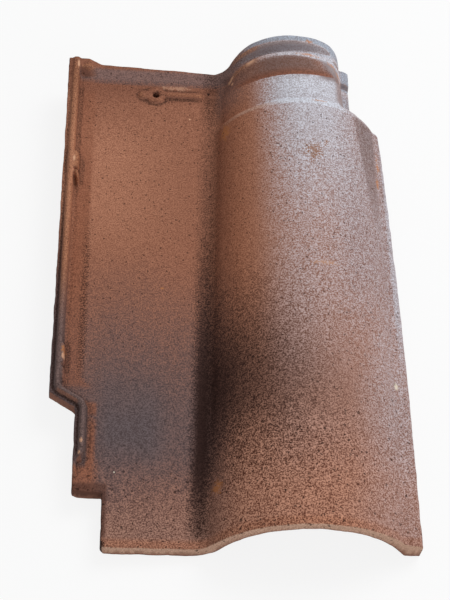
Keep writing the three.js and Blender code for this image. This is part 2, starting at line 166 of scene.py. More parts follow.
@dataclass
class Relief:
    """The tile as maps over its plan, rows along the tile and columns across it."""

    width: float
    length: float
    step: float = 0.5
    margin: float = 3.0
    x: Array = field(init=False)
    y: Array = field(init=False)
    top: Array = field(init=False)
    under: Array = field(init=False)
    rim: Array = field(init=False)
    inset: Array = field(init=False)
    sheltered: Array = field(init=False)

    def __post_init__(self) -> None:
        """Lays out the places of the maps."""
        self.x = np.arange(-self.margin, self.width + self.margin, self.step)[None, :]
        self.y = np.arange(-self.margin, self.length + self.margin, self.step)[:, None]

    def raise_to(self, height: Array, share: Array) -> None:
        """Brings the upper face up or down to a height, by a share of the way."""
        self.top = lerp(self.top, height, share)

    def soften(self, surface: Array, radius: float) -> Array:
        """Averages a map over a square, twice, so that its creases are rounded.

        Args:
            surface: the map.
            radius: half the square's side.

        Returns:
            The softened map.
        """
        reach = max(int(round(radius / self.step)), 1)
        for axis in (0, 1, 0, 1):
            margins = [(reach + 1, reach) if side == axis else (0, 0) for side in (0, 1)]
            padded = np.pad(surface, margins, "edge")
            total = np.cumsum(padded, axis=axis)
            span = 2 * reach + 1
            upper = np.take(total, range(span, total.shape[axis]), axis=axis)
            lower = np.take(total, range(0, total.shape[axis] - span), axis=axis)
            surface = (upper - lower) / span
        return surface

    def steepness(self, surface: Array) -> Array:
        """Cosine of a face's slope, which turns a height above it into a distance."""
        along, across = np.gradient(surface, self.step)
        return 1.0 / np.sqrt(1.0 + along * along + across * across)

    def sampler(self, maps: Sequence[Array]) -> Callable[[Array, Array], tuple]:
        """Makes a function that reads several maps between their places.

        Args:
            maps: the maps to read.

        Returns:
            A function of x and y that returns one array for each map.
        """
        stack = np.stack(maps, axis=-1)
        rows, columns = stack.shape[:2]

        def read(x: Array, y: Array) -> tuple:
            """Reads every map at the given places."""
            across = np.clip((x + self.margin) / self.step, 0.0, columns - 1.001)
            along = np.clip((y + self.margin) / self.step, 0.0, rows - 1.001)
            column = across.astype(int)
            row = along.astype(int)
            across = (across - column)[..., None]
            along = (along - row)[..., None]
            near = lerp(stack[row, column], stack[row, column + 1], across)
            far = lerp(stack[row + 1, column], stack[row + 1, column + 1], across)
            return tuple(np.moveaxis(lerp(near, far, along), -1, 0))

        return read


# ------------------------------------------------------------------------------ roll and pan


@dataclass(frozen=True)
class RollShape:
    """The roll's section at every place along the tile; each field is a column over y."""

    centre_x: Array
    crown: Array
    radius: Array
    edge: Array
    lip_top: Array
    lip_under: Array
    foot_x: Array
    crease: Array
    reach: Array
    inner_foot_x: Array
    inner_crease: Array
    valley: Array

    def blend(self, other: RollShape, share: Array) -> RollShape:
        """Section part of the way towards another one."""
        names = [item.name for item in fields(self)]
        mixed = {name: lerp(getattr(self, name), getattr(other, name), share) for name in names}
        return RollShape(**mixed)


@dataclass(frozen=True)
class Sheet:
    """The pressed sheet: flat pan, tapered roll, lip along the right edge and collar at the head."""

    length: float = 430.0
    width: float = 260.0
    pan_thickness: float = 11.4
    roll_wall: float = 9.0
    nose_chord: float = 146.0
    nose_crown: float = 60.0
    step_chord: float = 132.0
    step_crown: float = 57.0
    nose_valley: float = 14.0
    step_valley: float = 9.0
    shoulder_turn: float = 20.0
    shoulder_reach: float = 0.5
    edge_taper: float = 6.0
    taper_start: float = 100.0
    nose_stand_off: float = 2.5
    step_stand_off: float = 0.3
    nose_lip: float = 29.0
    step_lip: float = 21.3
    lip_fall: float = 1.6
    lip_chamfer: float = 2.0
    foot_blend: float = 4.0
    inner_foot_turn: float = 8.0
    inner_foot_blend: float = 1.5
    head_lap: float = 66.0
    riser_run: float = 6.5
    collar_inset: float = 27.4
    collar_foot_inset: float = 32.0
    head_foot_inset: float = 36.4
    collar_chord: float = 131.0
    collar_crown: float = 53.3
    collar_crown_inset: float = 70.0
    collar_crease: float = 21.5
    collar_reach: float = 0.15
    collar_lip: float = 17.0
    collar_lip_thickness: float = 8.5
    collar_wall: float = 5.5
    wall_lead: float = 12.0
    notch_clearance: float = 2.0
    tab_length: float = 15.0
    tab_top: float = 21.2
    tab_rise: float = 1.2
    rib_crown: float = 61.6
    rib_chord: float = 103.5
    rib_crown_inset: float = 77.8
    rib_valley: float = 16.0
    rib_crease: float = 27.0
    rib_reach: float = 0.42
    head_rib_width: float = 6.5
    head_rib_slope: float = 5.0
    groove_width: float = 3.5
    groove_fill: float = 0.25
    inner_rib_share: float = 0.35
    second_rib_back: float = 3.0
    second_rib_width: float = 4.0
    second_rib_slope: float = 12.0
    pan_rib_height: float = 2.0
    pan_rib_width: float = 5.0
    pan_rib_slope: float = 8.0

    @property
    def step_y(self) -> float:
        """Where the roll steps down to the collar."""
        return self.length - self.head_lap

    @property
    def floor_start(self) -> float:
        """Where the collar's floor starts."""
        return self.step_y + self.riser_run

    @property
    def roll_left_at_nose(self) -> float:
        """Left end of the roll's chord at the nose."""
        return self.width - self.nose_stand_off - self.nose_chord

    @property
    def roll_left_at_step(self) -> float:
        """Left end of the roll's chord at the step."""
        return self.width - self.edge_taper - self.step_stand_off - self.step_chord

    @property
    def collar_edge(self) -> float:
        """Right edge of the collar."""
        return self.width - self.collar_inset

    @property
    def pan_rib_foot(self) -> float:
        """Where the low rib along the pan's head starts to rise."""
        return self.length - self.pan_rib_width - self.pan_rib_slope

    def edge_at(self, y: Array) -> Array:
        """Right edge of the body: straight from the nose, then drawn in towards the head."""
        return self.width - self.edge_taper * ramp(y, self.taper_start, self.step_y) ** 2

    def body_roll(self, y: Array) -> RollShape:
        """Section of the roll below the step.

        Args:
            y: places along the tile.

        Returns:
            The roll's section.
        """
        along = ramp(y, 0.0, self.step_y)
        edge = self.edge_at(y)
        left = lerp(self.roll_left_at_nose, self.roll_left_at_step, along)
        chord = edge - lerp(self.nose_stand_off, self.step_stand_off, along) - left
        centre_x = left + chord / 2.0
        crown = lerp(self.nose_crown, self.step_crown, along)
        radius = chord_radius(chord, crown - self.pan_thickness)
        lip_top = lerp(self.nose_lip, self.step_lip, along)
        foot_angle = np.arccos((lip_top - crown + radius) / radius)
        inner_radius = radius - self.roll_wall
        inner_angle = np.arccos((self.pan_thickness - crown + radius) / inner_radius)
        return RollShape(
            centre_x=centre_x,
            crown=crown,
            radius=radius,
            edge=edge,
            lip_top=lip_top,
            lip_under=self.pan_thickness + 0.0 * y,
            foot_x=centre_x + radius * np.sin(foot_angle),
            crease=foot_angle - np.radians(self.shoulder_turn),
            reach=self.shoulder_reach + 0.0 * y,
            inner_foot_x=centre_x + inner_radius * np.sin(inner_angle) + self.inner_foot_blend,
            inner_crease=inner_angle - np.radians(self.inner_foot_turn),
            valley=lerp(self.nose_valley, self.step_valley, along),
        )

    def collar_roll(self, y: Array, share: Array, lip_top: Array) -> RollShape:
        """Section of the collar, from its floor (share 0) to the crest of a rib (share 1).

        Args:
            y: places along the tile.
            share: 0 on the collar's floor and 1 on a rib's crest.
            lip_top: height of the lip beside it.

        Returns:
            The collar's section.
        """
        chord = lerp(self.collar_chord, self.rib_chord, share)
        crown = lerp(self.collar_crown, self.rib_crown, share)
        crease = np.radians(lerp(self.collar_crease, self.rib_crease, share))
        to_head = ramp(y, self.floor_start, self.length)
        foot_x = self.width - lerp(self.collar_foot_inset, self.head_foot_inset, to_head)
        return RollShape(
            centre_x=self.width - lerp(self.collar_crown_inset, self.rib_crown_inset, share),
            crown=crown,
            radius=chord_radius(chord, crown - self.pan_thickness),
            edge=self.collar_edge + 0.0 * y,
            lip_top=lip_top,
            lip_under=self.collar_lip - self.collar_lip_thickness + 0.0 * y,
            foot_x=foot_x,
            crease=crease,
            reach=lerp(self.collar_reach, self.rib_reach, share),
            inner_foot_x=foot_x - self.collar_wall,
            inner_crease=crease,
            valley=lerp(self.step_valley, self.rib_valley, share),
        )

    def rib_share(self, y: Array) -> Array:
        """How far the collar has risen from its floor to a rib's crest."""
        head_start = self.length - self.head_rib_width - self.head_rib_slope
        second_end = head_start - self.groove_width - self.second_rib_back
        crest = second_end - self.second_rib_width
        second = ramp(y, crest - self.second_rib_slope, crest)
        groove = (1.0 - self.groove_fill) * ease(y, second_end, second_end + self.second_rib_back)
        head = (1.0 - self.groove_fill) * ease(y, head_start, head_start + self.head_rib_slope)
        return second - groove + head

    def outer_roll(self, y: Array) -> RollShape:
        """Section of the upper face along the whole tile."""
        tab_end = self.length - self.tab_length
        lip_top = lerp(self.collar_lip, self.tab_top, ramp(y, tab_end - self.tab_rise, tab_end))
        collar = self.collar_roll(y, self.rib_share(y), lip_top)
        return self.body_roll(y).blend(collar, ease(y, self.step_y, self.floor_start))

    def inner_roll(self, y: Array) -> RollShape:
        """Section of the under face along the whole tile."""
        lead = self.step_y - self.wall_lead
        crest = self.length - self.head_rib_width - self.head_rib_slope - self.groove_width
        crest = crest - self.second_rib_back - self.second_rib_width
        share = self.inner_rib_share * ramp(y, crest - self.second_rib_slope, crest)
        collar = self.collar_roll(y, share, self.collar_lip + 0.0 * y)
        return self.body_roll(y).blend(collar, ramp(y, lead, lead + self.riser_run))

    def flank_heights(self, x: Array, roll: RollShape) -> Array:
        """Heights over the shoulder, down the flank and out on to the lip.

        Args:
            x: places across the tile.
            roll: the roll's section.

        Returns:
            The heights.
        """
        start_x = roll.centre_x + roll.radius * np.sin(roll.crease)
        start_z = roll.crown - roll.radius + roll.radius * np.cos(roll.crease)
        span = roll.reach * np.hypot(roll.foot_x - start_x, roll.lip_top - start_z)
        corner_x = start_x + span * np.cos(roll.crease)
        corner_z = start_z - span * np.sin(roll.crease)
        back = self.foot_blend / np.hypot(corner_x - roll.foot_x, corner_z - roll.lip_top)
        toe_x = lerp(roll.foot_x, corner_x, back)
        toe_z = lerp(roll.lip_top, corner_z, back)
        shelf_x = np.minimum(roll.foot_x + self.foot_blend, roll.edge - 2.0 * self.lip_chamfer)
        fall = self.lip_fall * ramp(x, shelf_x, roll.edge - self.lip_chamfer)
        chamfer = self.lip_chamfer * ramp(x, roll.edge - self.lip_chamfer, roll.edge)
        flank = curve_height(x, (start_x, start_z), (corner_x, corner_z), (toe_x, toe_z))
        toe = curve_height(x, (toe_x, toe_z), (roll.foot_x, roll.lip_top), (shelf_x, roll.lip_top))
        lip = roll.lip_top - fall - chamfer
        return np.where(x < toe_x, flank, np.where(x < shelf_x, toe, lip))

    def upper_heights(self, x: Array, y: Array) -> Array:
        """Heights of the upper face: pan, valley, crown, flank and lip.

        Args:
            x: places across the tile.
            y: places along the tile.

        Returns:
            The heights.
        """
        roll = self.outer_roll(y)
        rib = self.pan_rib_height * ease(y, self.pan_rib_foot, self.pan_rib_foot + self.pan_rib_slope)
        pan_top = self.pan_thickness + rib
        centre_z = roll.crown - roll.radius
        rise = pan_top + roll.valley - centre_z
        valley_x = roll.centre_x - np.sqrt((roll.radius + roll.valley) ** 2 - rise**2)
        turn = np.arctan2(roll.centre_x - valley_x, rise)
        drop = np.sqrt(np.clip(roll.valley**2 - (x - valley_x) ** 2, 0.0, None))
        arch = np.sqrt(np.clip(roll.radius**2 - (x - roll.centre_x) ** 2, 0.0, None))
        heights = np.where(x < valley_x, pan_top, pan_top + roll.valley - drop)
        heights = np.where(x < valley_x + roll.valley * np.sin(turn), heights, centre_z + arch)
        crease_x = roll.centre_x + roll.radius * np.sin(roll.crease)
        return np.where(x < crease_x, heights, self.flank_heights(x, roll))

    def lower_heights(self, x: Array, y: Array) -> Array:
        """Heights of the under face, which keeps the sheet's thickness round the valley.

        Args:
            x: places across the tile.
            y: places along the tile.

        Returns:
            The heights.
        """
        roll = self.inner_roll(y)
        radius = roll.radius - self.roll_wall
        centre_z = roll.crown - roll.radius
        bend = roll.valley + self.pan_thickness
        rise = bend - centre_z
        valley_x = roll.centre_x - np.sqrt((radius + bend) ** 2 - rise**2)
        turn = np.arctan2(roll.centre_x - valley_x, rise)
        drop = np.sqrt(np.clip(bend**2 - (x - valley_x) ** 2, 0.0, None))
        arch = np.sqrt(np.clip(radius**2 - (x - roll.centre_x) ** 2, 0.0, None))
        end_x = roll.centre_x + radius * np.sin(roll.inner_crease)
        end_z = centre_z + radius * np.cos(roll.inner_crease)
        heights = np.where(x < valley_x, 0.0, bend - drop)
        heights = np.where(x < valley_x + bend * np.sin(turn), heights, centre_z + arch)
        foot = lerp(end_z, roll.lip_under, ramp(x, end_x, roll.inner_foot_x))
        return np.where(x < end_x, heights, foot)

    def flank_passage(self, x: Array, y: Array) -> Array:
        """Heights of the open passage under the right flank, beside the collar."""
        roll = self.body_roll(np.array(self.step_y))
        radius = roll.radius - self.roll_wall
        arch = np.sqrt(np.clip(radius**2 - (x - roll.centre_x) ** 2, 0.0, None))
        ceiling = roll.crown - roll.radius + arch
        start_y = self.step_y - self.wall_lead - self.riser_run
        past_edge = x > self.collar_edge + self.notch_clearance
        inside = past_edge & (y > start_y) & (ceiling > self.pan_thickness)
        return np.where(inside, ceiling, -self.length)

    def press(self, relief: Relief) -> None:
        """Lays the sheet's two faces into the maps."""
        relief.top = self.upper_heights(relief.x, relief.y)
        relief.under = self.lower_heights(relief.x, relief.y)
        relief.under = np.maximum(relief.under, self.flank_passage(relief.x, relief.y))


# ------------------------------------------------------------------------------ outline


@dataclass(frozen=True)
class Outline:
    """The tile's plan: two steps cut back at the lower left and a notch at the upper right."""

    sheet: Sheet
    jog_depth: float = 19.3
    jog_top: float = 116.0
    jog_fall: float = 11.5
    nose_cut_depth: float = 40.5
    nose_cut_length: float = 41.0
    corner_ease: float = 2.5
    head_sag: float = 4.2
    sag_length: float = 88.0
    sag_recovery: float = 24.0
    edge_spans: int = 24
    wobble: float = 0.32
    wobble_size: float = 11.0
    chip: float = 0.16
    chip_size: float = 3.1

    def corners(self) -> list[tuple[float, float]]:
        """Corners of the plan, anticlockwise from the upper left."""
        sheet = self.sheet
        notch = sheet.step_y + sheet.notch_clearance
        right = [(float(sheet.edge_at(y)), y) for y in np.linspace(0.0, sheet.step_y, self.edge_spans)]
        return [
            (0.0, sheet.length),
            (0.0, self.jog_top),
            (self.jog_depth, self.jog_top - self.jog_fall),
            (self.jog_depth, self.nose_cut_length),
            (self.nose_cut_depth, self.nose_cut_length),
            (self.nose_cut_depth, self.corner_ease),
            (self.nose_cut_depth + self.corner_ease, 0.0),
            *right,
            (right[-1][0] - sheet.riser_run / 2.0, notch),
            (sheet.collar_edge, notch),
            (sheet.collar_edge, sheet.length),
            (sheet.roll_left_at_step + self.sag_recovery, sheet.length),
            (sheet.roll_left_at_step, sheet.length - self.head_sag),
            (sheet.roll_left_at_step - self.sag_length, sheet.length),
        ]

    def press(self, relief: Relief) -> None:
        """Measures the distance to the outline, positive outside, and roughens it a little."""
        x, y = relief.x, relief.y
        nearest = np.full((y.size, x.size), np.inf)
        inside = np.zeros((y.size, x.size), bool)
        ring = self.corners()
        for (ax, ay), (bx, by) in zip(ring, ring[1:] + ring[:1]):
            dx, dy = bx - ax, by - ay
            share = np.clip(((x - ax) * dx + (y - ay) * dy) / (dx * dx + dy * dy), 0.0, 1.0)
            nearest = np.minimum(nearest, np.hypot(x - ax - share * dx, y - ay - share * dy))
            if dy:
                crosses = ((y < ay) != (y < by)) & (x < ax + (y - ay) * dx / dy)
                inside ^= crosses
        rough = self.wobble * unevenness(x, y, self.wobble_size, seed=4)
        rough = rough + self.chip * unevenness(x, y, self.chip_size, seed=9)
        relief.rim = np.where(inside, -nearest, nearest) + rough


# ------------------------------------------------------------------------------ left margin


@dataclass(frozen=True)
class Lug:
    """A thickened stretch of the margin's rib that the neighbour's lip bears on."""

    start: float
    length: float
    near: float
    reach: float
    top: float
    foot: float = 8.4
    corner: float = 3.6
    bevel: float = 1.3
    tail: float = 11.0

    def share(self, inset: Array, y: Array) -> Array:
        """How far the lug stands up: a rounded pad with a tail sloping towards the nose.

        Args:
            inset: distance in from the left edge.
            y: places along the tile.

        Returns:
            The share, up to 1 on the pad.
        """
        across = np.abs(inset - (self.near + self.reach) / 2.0) - (self.reach - self.near) / 2.0
        along = np.abs(y - self.start - self.length / 2.0) - self.length / 2.0
        across_corner = np.maximum(across + self.corner, 0.0)
        along_corner = np.maximum(along + self.corner, 0.0)
        apart = np.hypot(across_corner, along_corner) - self.corner
        apart = apart + np.minimum(np.maximum(across, along) + self.corner, 0.0)
        pad = 1.0 - ease(apart, -self.bevel, 0.0)
        way = ramp(y, self.start - self.tail, self.start)
        left = lerp(self.reach, self.foot, way)
        tail = ease(inset, left - self.bevel, left)
        tail = tail * (1.0 - ease(inset, self.reach - self.bevel, self.reach))
        return np.maximum(pad, tail * (way > 0.0) * (way < 1.0))


@dataclass(frozen=True)
class LeftMargin:
    """Ledge, rib, lugs and drain channels along the left edge, and the hollow under them."""

    outline: Outline
    ledge_top: float = 16.5
    ledge_head_top: float = 19.6
    ledge_rise_start: float = 320.0
    ledge_end: float = 52.0
    ledge_width: float = 3.2
    ledge_round: float = 1.0
    rib_start: float = 3.0
    rib_rise: float = 1.2
    rib_crest_end: float = 7.2
    rib_head_gain: float = 1.3
    rib_fall: float = 1.4
    rib_top: float = 21.2
    rib_head_top: float = 22.2
    rib_head_start: float = 16.0
    rib_head_end: float = 5.0
    rib_end: float = 62.0
    bend: float = 4.0
    lugs: tuple[Lug, ...] = (Lug(314.0, 19.0, 3.0, 13.4, 22.2), Lug(136.0, 21.0, 3.0, 10.6, 22.0))
    channel_start: float = 11.0
    channel_end: float = 24.4
    channel_depth: float = 1.3
    channel_slope: float = 3.0
    channel_foot: float = 121.0
    channel_head_gap: float = 12.0
    lower_channel_end: float = 16.4
    lower_channel_top: float = 106.0
    lower_channel_foot: float = 49.0
    lower_channel_slant: float = 0.35
    lower_channel_overlap: float = 0.5
    underside: float = 6.0
    undercut: float = 23.0
    under_slope: float = 6.0

    def inset(self, x: Array, y: Array) -> Array:
        """Distance in from the left edge, which follows the jog round eased bends."""
        plan = self.outline
        fall = np.hypot(plan.jog_depth, plan.jog_fall)
        slant = (x * plan.jog_fall + (y - plan.jog_top) * plan.jog_depth) / fall
        return smooth_min(x + 0.0 * y, smooth_max(slant, x - plan.jog_depth, self.bend), self.bend)

    def channel_share(self, inset: Array, y: Array) -> Array:
        """How deep the drain channels lie: one above the jog, one below it, round the rib's end.

        Args:
            inset: distance in from the left edge.
            y: places along the tile.

        Returns:
            The share, up to 1 on the floor.
        """
        head = self.outline.sheet.pan_rib_foot - self.channel_head_gap
        slope = self.channel_slope
        upper = band(inset, self.channel_start - slope, self.channel_end, slope)
        upper = upper * band(y, self.channel_foot, head, 2.0 * slope)
        past_end = 1.0 - ease(y, self.rib_end, self.rib_end + slope)
        near = lerp(self.channel_start - slope, self.ledge_width - self.lower_channel_overlap, past_end)
        lower = ease(inset, near, near + slope)
        lower = lower * (1.0 - ease(inset, self.lower_channel_end - slope, self.lower_channel_end))
        way = y + self.lower_channel_slant * inset
        lower = lower * band(way, self.lower_channel_foot, self.lower_channel_top, 2.0 * slope)
        return np.clip(np.maximum(upper, lower), 0.0, 1.0)

    def rib_share(self, inset: Array, y: Array) -> Array:
        """How far the rib stands up: it widens towards the head, and its end is cut at a slant."""
        gain = self.rib_head_gain * ramp(y, self.outline.jog_top, self.outline.sheet.length)
        crest_end = self.rib_crest_end + gain
        rib = ease(inset, self.rib_start, self.rib_start + self.rib_rise)
        rib = rib * (1.0 - ease(inset, crest_end, crest_end + self.rib_fall))
        end = y - (inset - self.rib_start)
        return rib * ease(end, self.rib_end, self.rib_end + self.rib_rise)

    def press(self, relief: Relief) -> None:
        """Presses the margin's forms into both faces."""
        x, y = relief.x, relief.y + 0.0 * relief.x
        sheet = self.outline.sheet
        inset = self.inset(x, y)
        relief.inset = inset
        relief.sheltered = self.channel_share(inset, y)
        relief.raise_to(sheet.pan_thickness - self.channel_depth, relief.sheltered)
        along = ease(y, self.ledge_end, self.ledge_end + self.channel_slope)
        rise = ramp(y, self.ledge_rise_start, sheet.length)
        ledge_top = lerp(self.ledge_top, self.ledge_head_top, rise)
        past_end = ease(y, self.rib_end, self.rib_end + self.channel_slope)
        reach = lerp(self.ledge_width, self.rib_crest_end, past_end)
        relief.raise_to(ledge_top, (1.0 - ease(inset, reach - self.ledge_round, reach)) * along)
        head_share = ease(y, sheet.length - self.rib_head_start, sheet.length - self.rib_head_end)
        rib_top = lerp(self.rib_top, self.rib_head_top, head_share)
        relief.raise_to(rib_top, self.rib_share(inset, y))
        for lug in self.lugs:
            relief.raise_to(lug.top, lug.share(inset, y))
        hollow = self.underside * (1.0 - ramp(x, self.undercut - self.under_slope, self.undercut))
        relief.under = np.maximum(relief.under, np.where(hollow > 0.0, hollow, -sheet.length))


# ------------------------------------------------------------------------------ head of the pan


@dataclass(frozen=True)
class PanHead:
    """Raised left corner, nail hole, its boss and the ridge from the boss to the roll."""

    sheet: Sheet
    corner_top: float = 20.4
    corner_flat: float = 16.5
    corner_run: float = 10.5
    corner_depth: float = 9.0
    nail_x: float = 72.3
    nail_back: float = 29.8
    hole_radius: float = 2.75
    boss_radius: float = 8.4
    boss_height: float = 2.2
    boss_ease: float = 1.2
    tongue_reach: float = 14.5
    tongue_width: float = 9.0
    ridge_gap: float = 13.0
    ridge_lift: float = 1.3
    ridge_width: float = 6.5

    @property
    def nail_y(self) -> float:
        """Where the nail hole stands along the tile."""
        return self.sheet.length - self.nail_back

    def pill(self, relief: Relief, start: float, end: float, y: float, width: float) -> Array:
        """Height of a low round-ended bar that lies across the tile."""
        across = relief.x - np.clip(relief.x, start, end)
        apart = np.hypot(across, relief.y - y)
        return self.boss_height * (1.0 - ease(apart, width / 2.0 - self.boss_ease, width / 2.0))

    def press(self, relief: Relief) -> None:
        """Presses the corner and the boss into the upper face."""
        x, y = relief.x, relief.y
        sheet = self.sheet
        slope = ramp(x, self.corner_flat, self.corner_flat + self.corner_run)
        rib_top = sheet.pan_thickness + sheet.pan_rib_height
        height = lerp(self.corner_top, rib_top, slope)
        crest = sheet.length - lerp(self.corner_depth, sheet.pan_rib_width, slope)
        rise = ramp(y, sheet.pan_rib_foot, crest) * (x < self.corner_flat + self.corner_run)
        relief.top = np.maximum(relief.top, lerp(sheet.pan_thickness, height, rise))
        tongue = self.pill(
            relief,
            self.nail_x - self.tongue_reach + self.tongue_width / 2.0,
            self.nail_x,
            self.nail_y,
            self.tongue_width,
        )
        boss = self.pill(relief, self.nail_x, self.nail_x, self.nail_y, 2.0 * self.boss_radius)
        ridge_end = sheet.roll_left_at_step - self.ridge_gap
        ridge = self.pill(relief, self.nail_x, ridge_end, self.nail_y + self.ridge_lift, self.ridge_width)
        relief.top = relief.top + np.maximum(np.maximum(tongue, boss), ridge)


# ------------------------------------------------------------------------------ nibs


@dataclass(frozen=True)
class Nibs:
    """Two hooked nibs under the head of the pan: a straight face and a sloped back."""

    sheet: Sheet
    depth: float = 13.0
    back: float = 8.0
    root: float = 15.0
    draft: float = 2.0
    width: float = 26.0
    left_x: float = 20.0
    to_roll: float = 18.0
    rounding: float = 1.6

    @property
    def face_y(self) -> float:
        """Where the nibs' straight faces stand."""
        return self.sheet.length - self.back - self.root

    @property
    def right_end(self) -> float:
        """Right end of the right nib."""
        return self.sheet.roll_left_at_step - self.to_roll

    def distance(self, x: Array, y: Array, z: Array) -> Array:
        """Distance to the nearer nib, positive outside.

        Args:
            x: places across the tile.
            y: places along the tile.
            z: heights.

        Returns:
            The distances, negative inside.
        """
        nearest = None
        lean = np.hypot(self.depth, 2.0 * self.draft)
        slope = ((y - self.face_y - self.root) * self.depth - z * 2.0 * self.draft) / lean
        along = smooth_max(self.face_y - y, slope, self.rounding)
        upright = smooth_max(-self.depth - z, z - self.sheet.pan_thickness / 2.0, self.rounding)
        for start in (self.left_x, self.right_end - self.width):
            middle = start + self.width / 2.0
            across = np.abs(x - middle) - self.width / 2.0
            whole = smooth_max(smooth_max(across, along, self.rounding), upright, self.rounding)
            nearest = whole if nearest is None else np.minimum(nearest, whole)
        return nearest


# ------------------------------------------------------------------------------ wear


class Mark(Enum):
    """Kinds of mark that handling and firing left on the tile."""

    CHIP = "fresh clay in a broken edge"
    RUST = "orange clay worn through"
    OCHRE = "ochre stain"
    LIME = "pale lime fleck"
    PIT = "dark open pit"
    SCUFF = "slip rubbed pale"
    LUMP = "small welt of clay"


@dataclass(frozen=True)
class Spot:
    """One mark: its kind, place, reach across and along, and depth."""

    kind: Mark
    x: float
    y: float
    across: float
    along: float
    depth: float = 0.0


@dataclass(frozen=True)
class Wear:
    """Marks and unevenness that handling and firing left on the tile."""

    spots: tuple[Spot, ...]
    sway: float = 0.35
    sway_size: float = 70.0
    dimple: float = 0.10
    dimple_size: float = 17.0
    ragged: float = 0.35
    ragged_size: float = 1.3
    floor_reach: float = 0.55
    sway_seed: int = 21
    dimple_seed: int = 22
    spot_seed: int = 100

    def press(self, relief: Relief) -> None:
        """Presses the marks and the unevenness into the upper face."""
        x, y = relief.x, relief.y
        relief.top = relief.top + self.sway * unevenness(x, y, self.sway_size, seed=self.sway_seed)
        relief.top = relief.top + self.dimple * unevenness(x, y, self.dimple_size, seed=self.dimple_seed)
        for number, spot in enumerate(self.spots):
            if spot.depth:
                edge = unevenness(x, y, self.ragged_size, seed=self.spot_seed + number)
                ragged = 1.0 + self.ragged * edge
                apart = np.hypot((x - spot.x) / spot.across, (y - spot.y) / spot.along) * ragged
                relief.top = relief.top - spot.depth * (1.0 - ease(apart, self.floor_reach, 1.0))


# ------------------------------------------------------------------------------ rounded body


@dataclass(frozen=True)
class Body:
    """The tile as one rounded field, negative inside the clay."""

    relief: Relief
    nibs: Nibs
    head: PanHead
    edge_round: float = 1.5
    bore_round: float = 1.2
    fillet: float = 3.0
    crease: float = 0.5
    read: Callable = field(init=False)

    def __post_init__(self) -> None:
        """Softens the maps' creases and gets them ready to read."""
        relief = self.relief
        top = relief.soften(relief.top, self.crease)
        under = relief.soften(relief.under, self.crease)
        maps = [top, relief.steepness(top), under, relief.steepness(under), relief.rim]
        object.__setattr__(self, "read", relief.sampler(maps))

    def faces(self, x: Array, y: Array, z: Array) -> tuple:
        """Distances out of the upper face, the under face and the outline."""
        top, top_lean, under, under_lean, rim = self.read(x, y)
        return (z - top) * top_lean, (under - z) * under_lean, rim

    def distance(self, x: Array, y: Array, z: Array) -> Array:
        """Distance out of the clay at each place.

        Args:
            x: places across the tile.
            y: places along the tile.
            z: heights.

        Returns:
            The distances, negative inside.
        """
        upper, lower, rim = self.faces(x, y, z)
        sheet = smooth_max(smooth_max(upper, lower, self.edge_round), rim, self.edge_round)
        whole = smooth_min(sheet, self.nibs.distance(x, y, z), self.fillet)
        bore = self.head.hole_radius - np.hypot(x - self.head.nail_x, y - self.head.nail_y)
        return smooth_max(whole, bore, self.bore_round)

    def slope(self, points: Array, reach: float = 0.25) -> Array:
        """Direction in which the distance grows, by central differences."""
        columns = []
        for axis in range(3):
            offset = np.zeros(3)
            offset[axis] = reach
            ahead = self.distance(*(points + offset).T)
            behind = self.distance(*(points - offset).T)
            columns.append((ahead - behind) / (2.0 * reach))
        return np.stack(columns, axis=1)

    def settle(self, points: Array, rounds: int = 2, longest: float = 0.6) -> Array:
        """Moves points on to the surface, a little at a time.

        Args:
            points: the points to move.
            rounds: how many times.
            longest: longest move in one round.

        Returns:
            The moved points.
        """
        for _ in range(rounds):
            slope = self.slope(points)
            size = np.clip((slope * slope).sum(axis=1), 0.05, None)
            stride = self.distance(*points.T) / size
            length = np.abs(stride) * np.sqrt(size)
            stride = stride * np.minimum(1.0, longest / np.maximum(length, 1e-9))
            points = points - slope * stride[:, None]
        return points


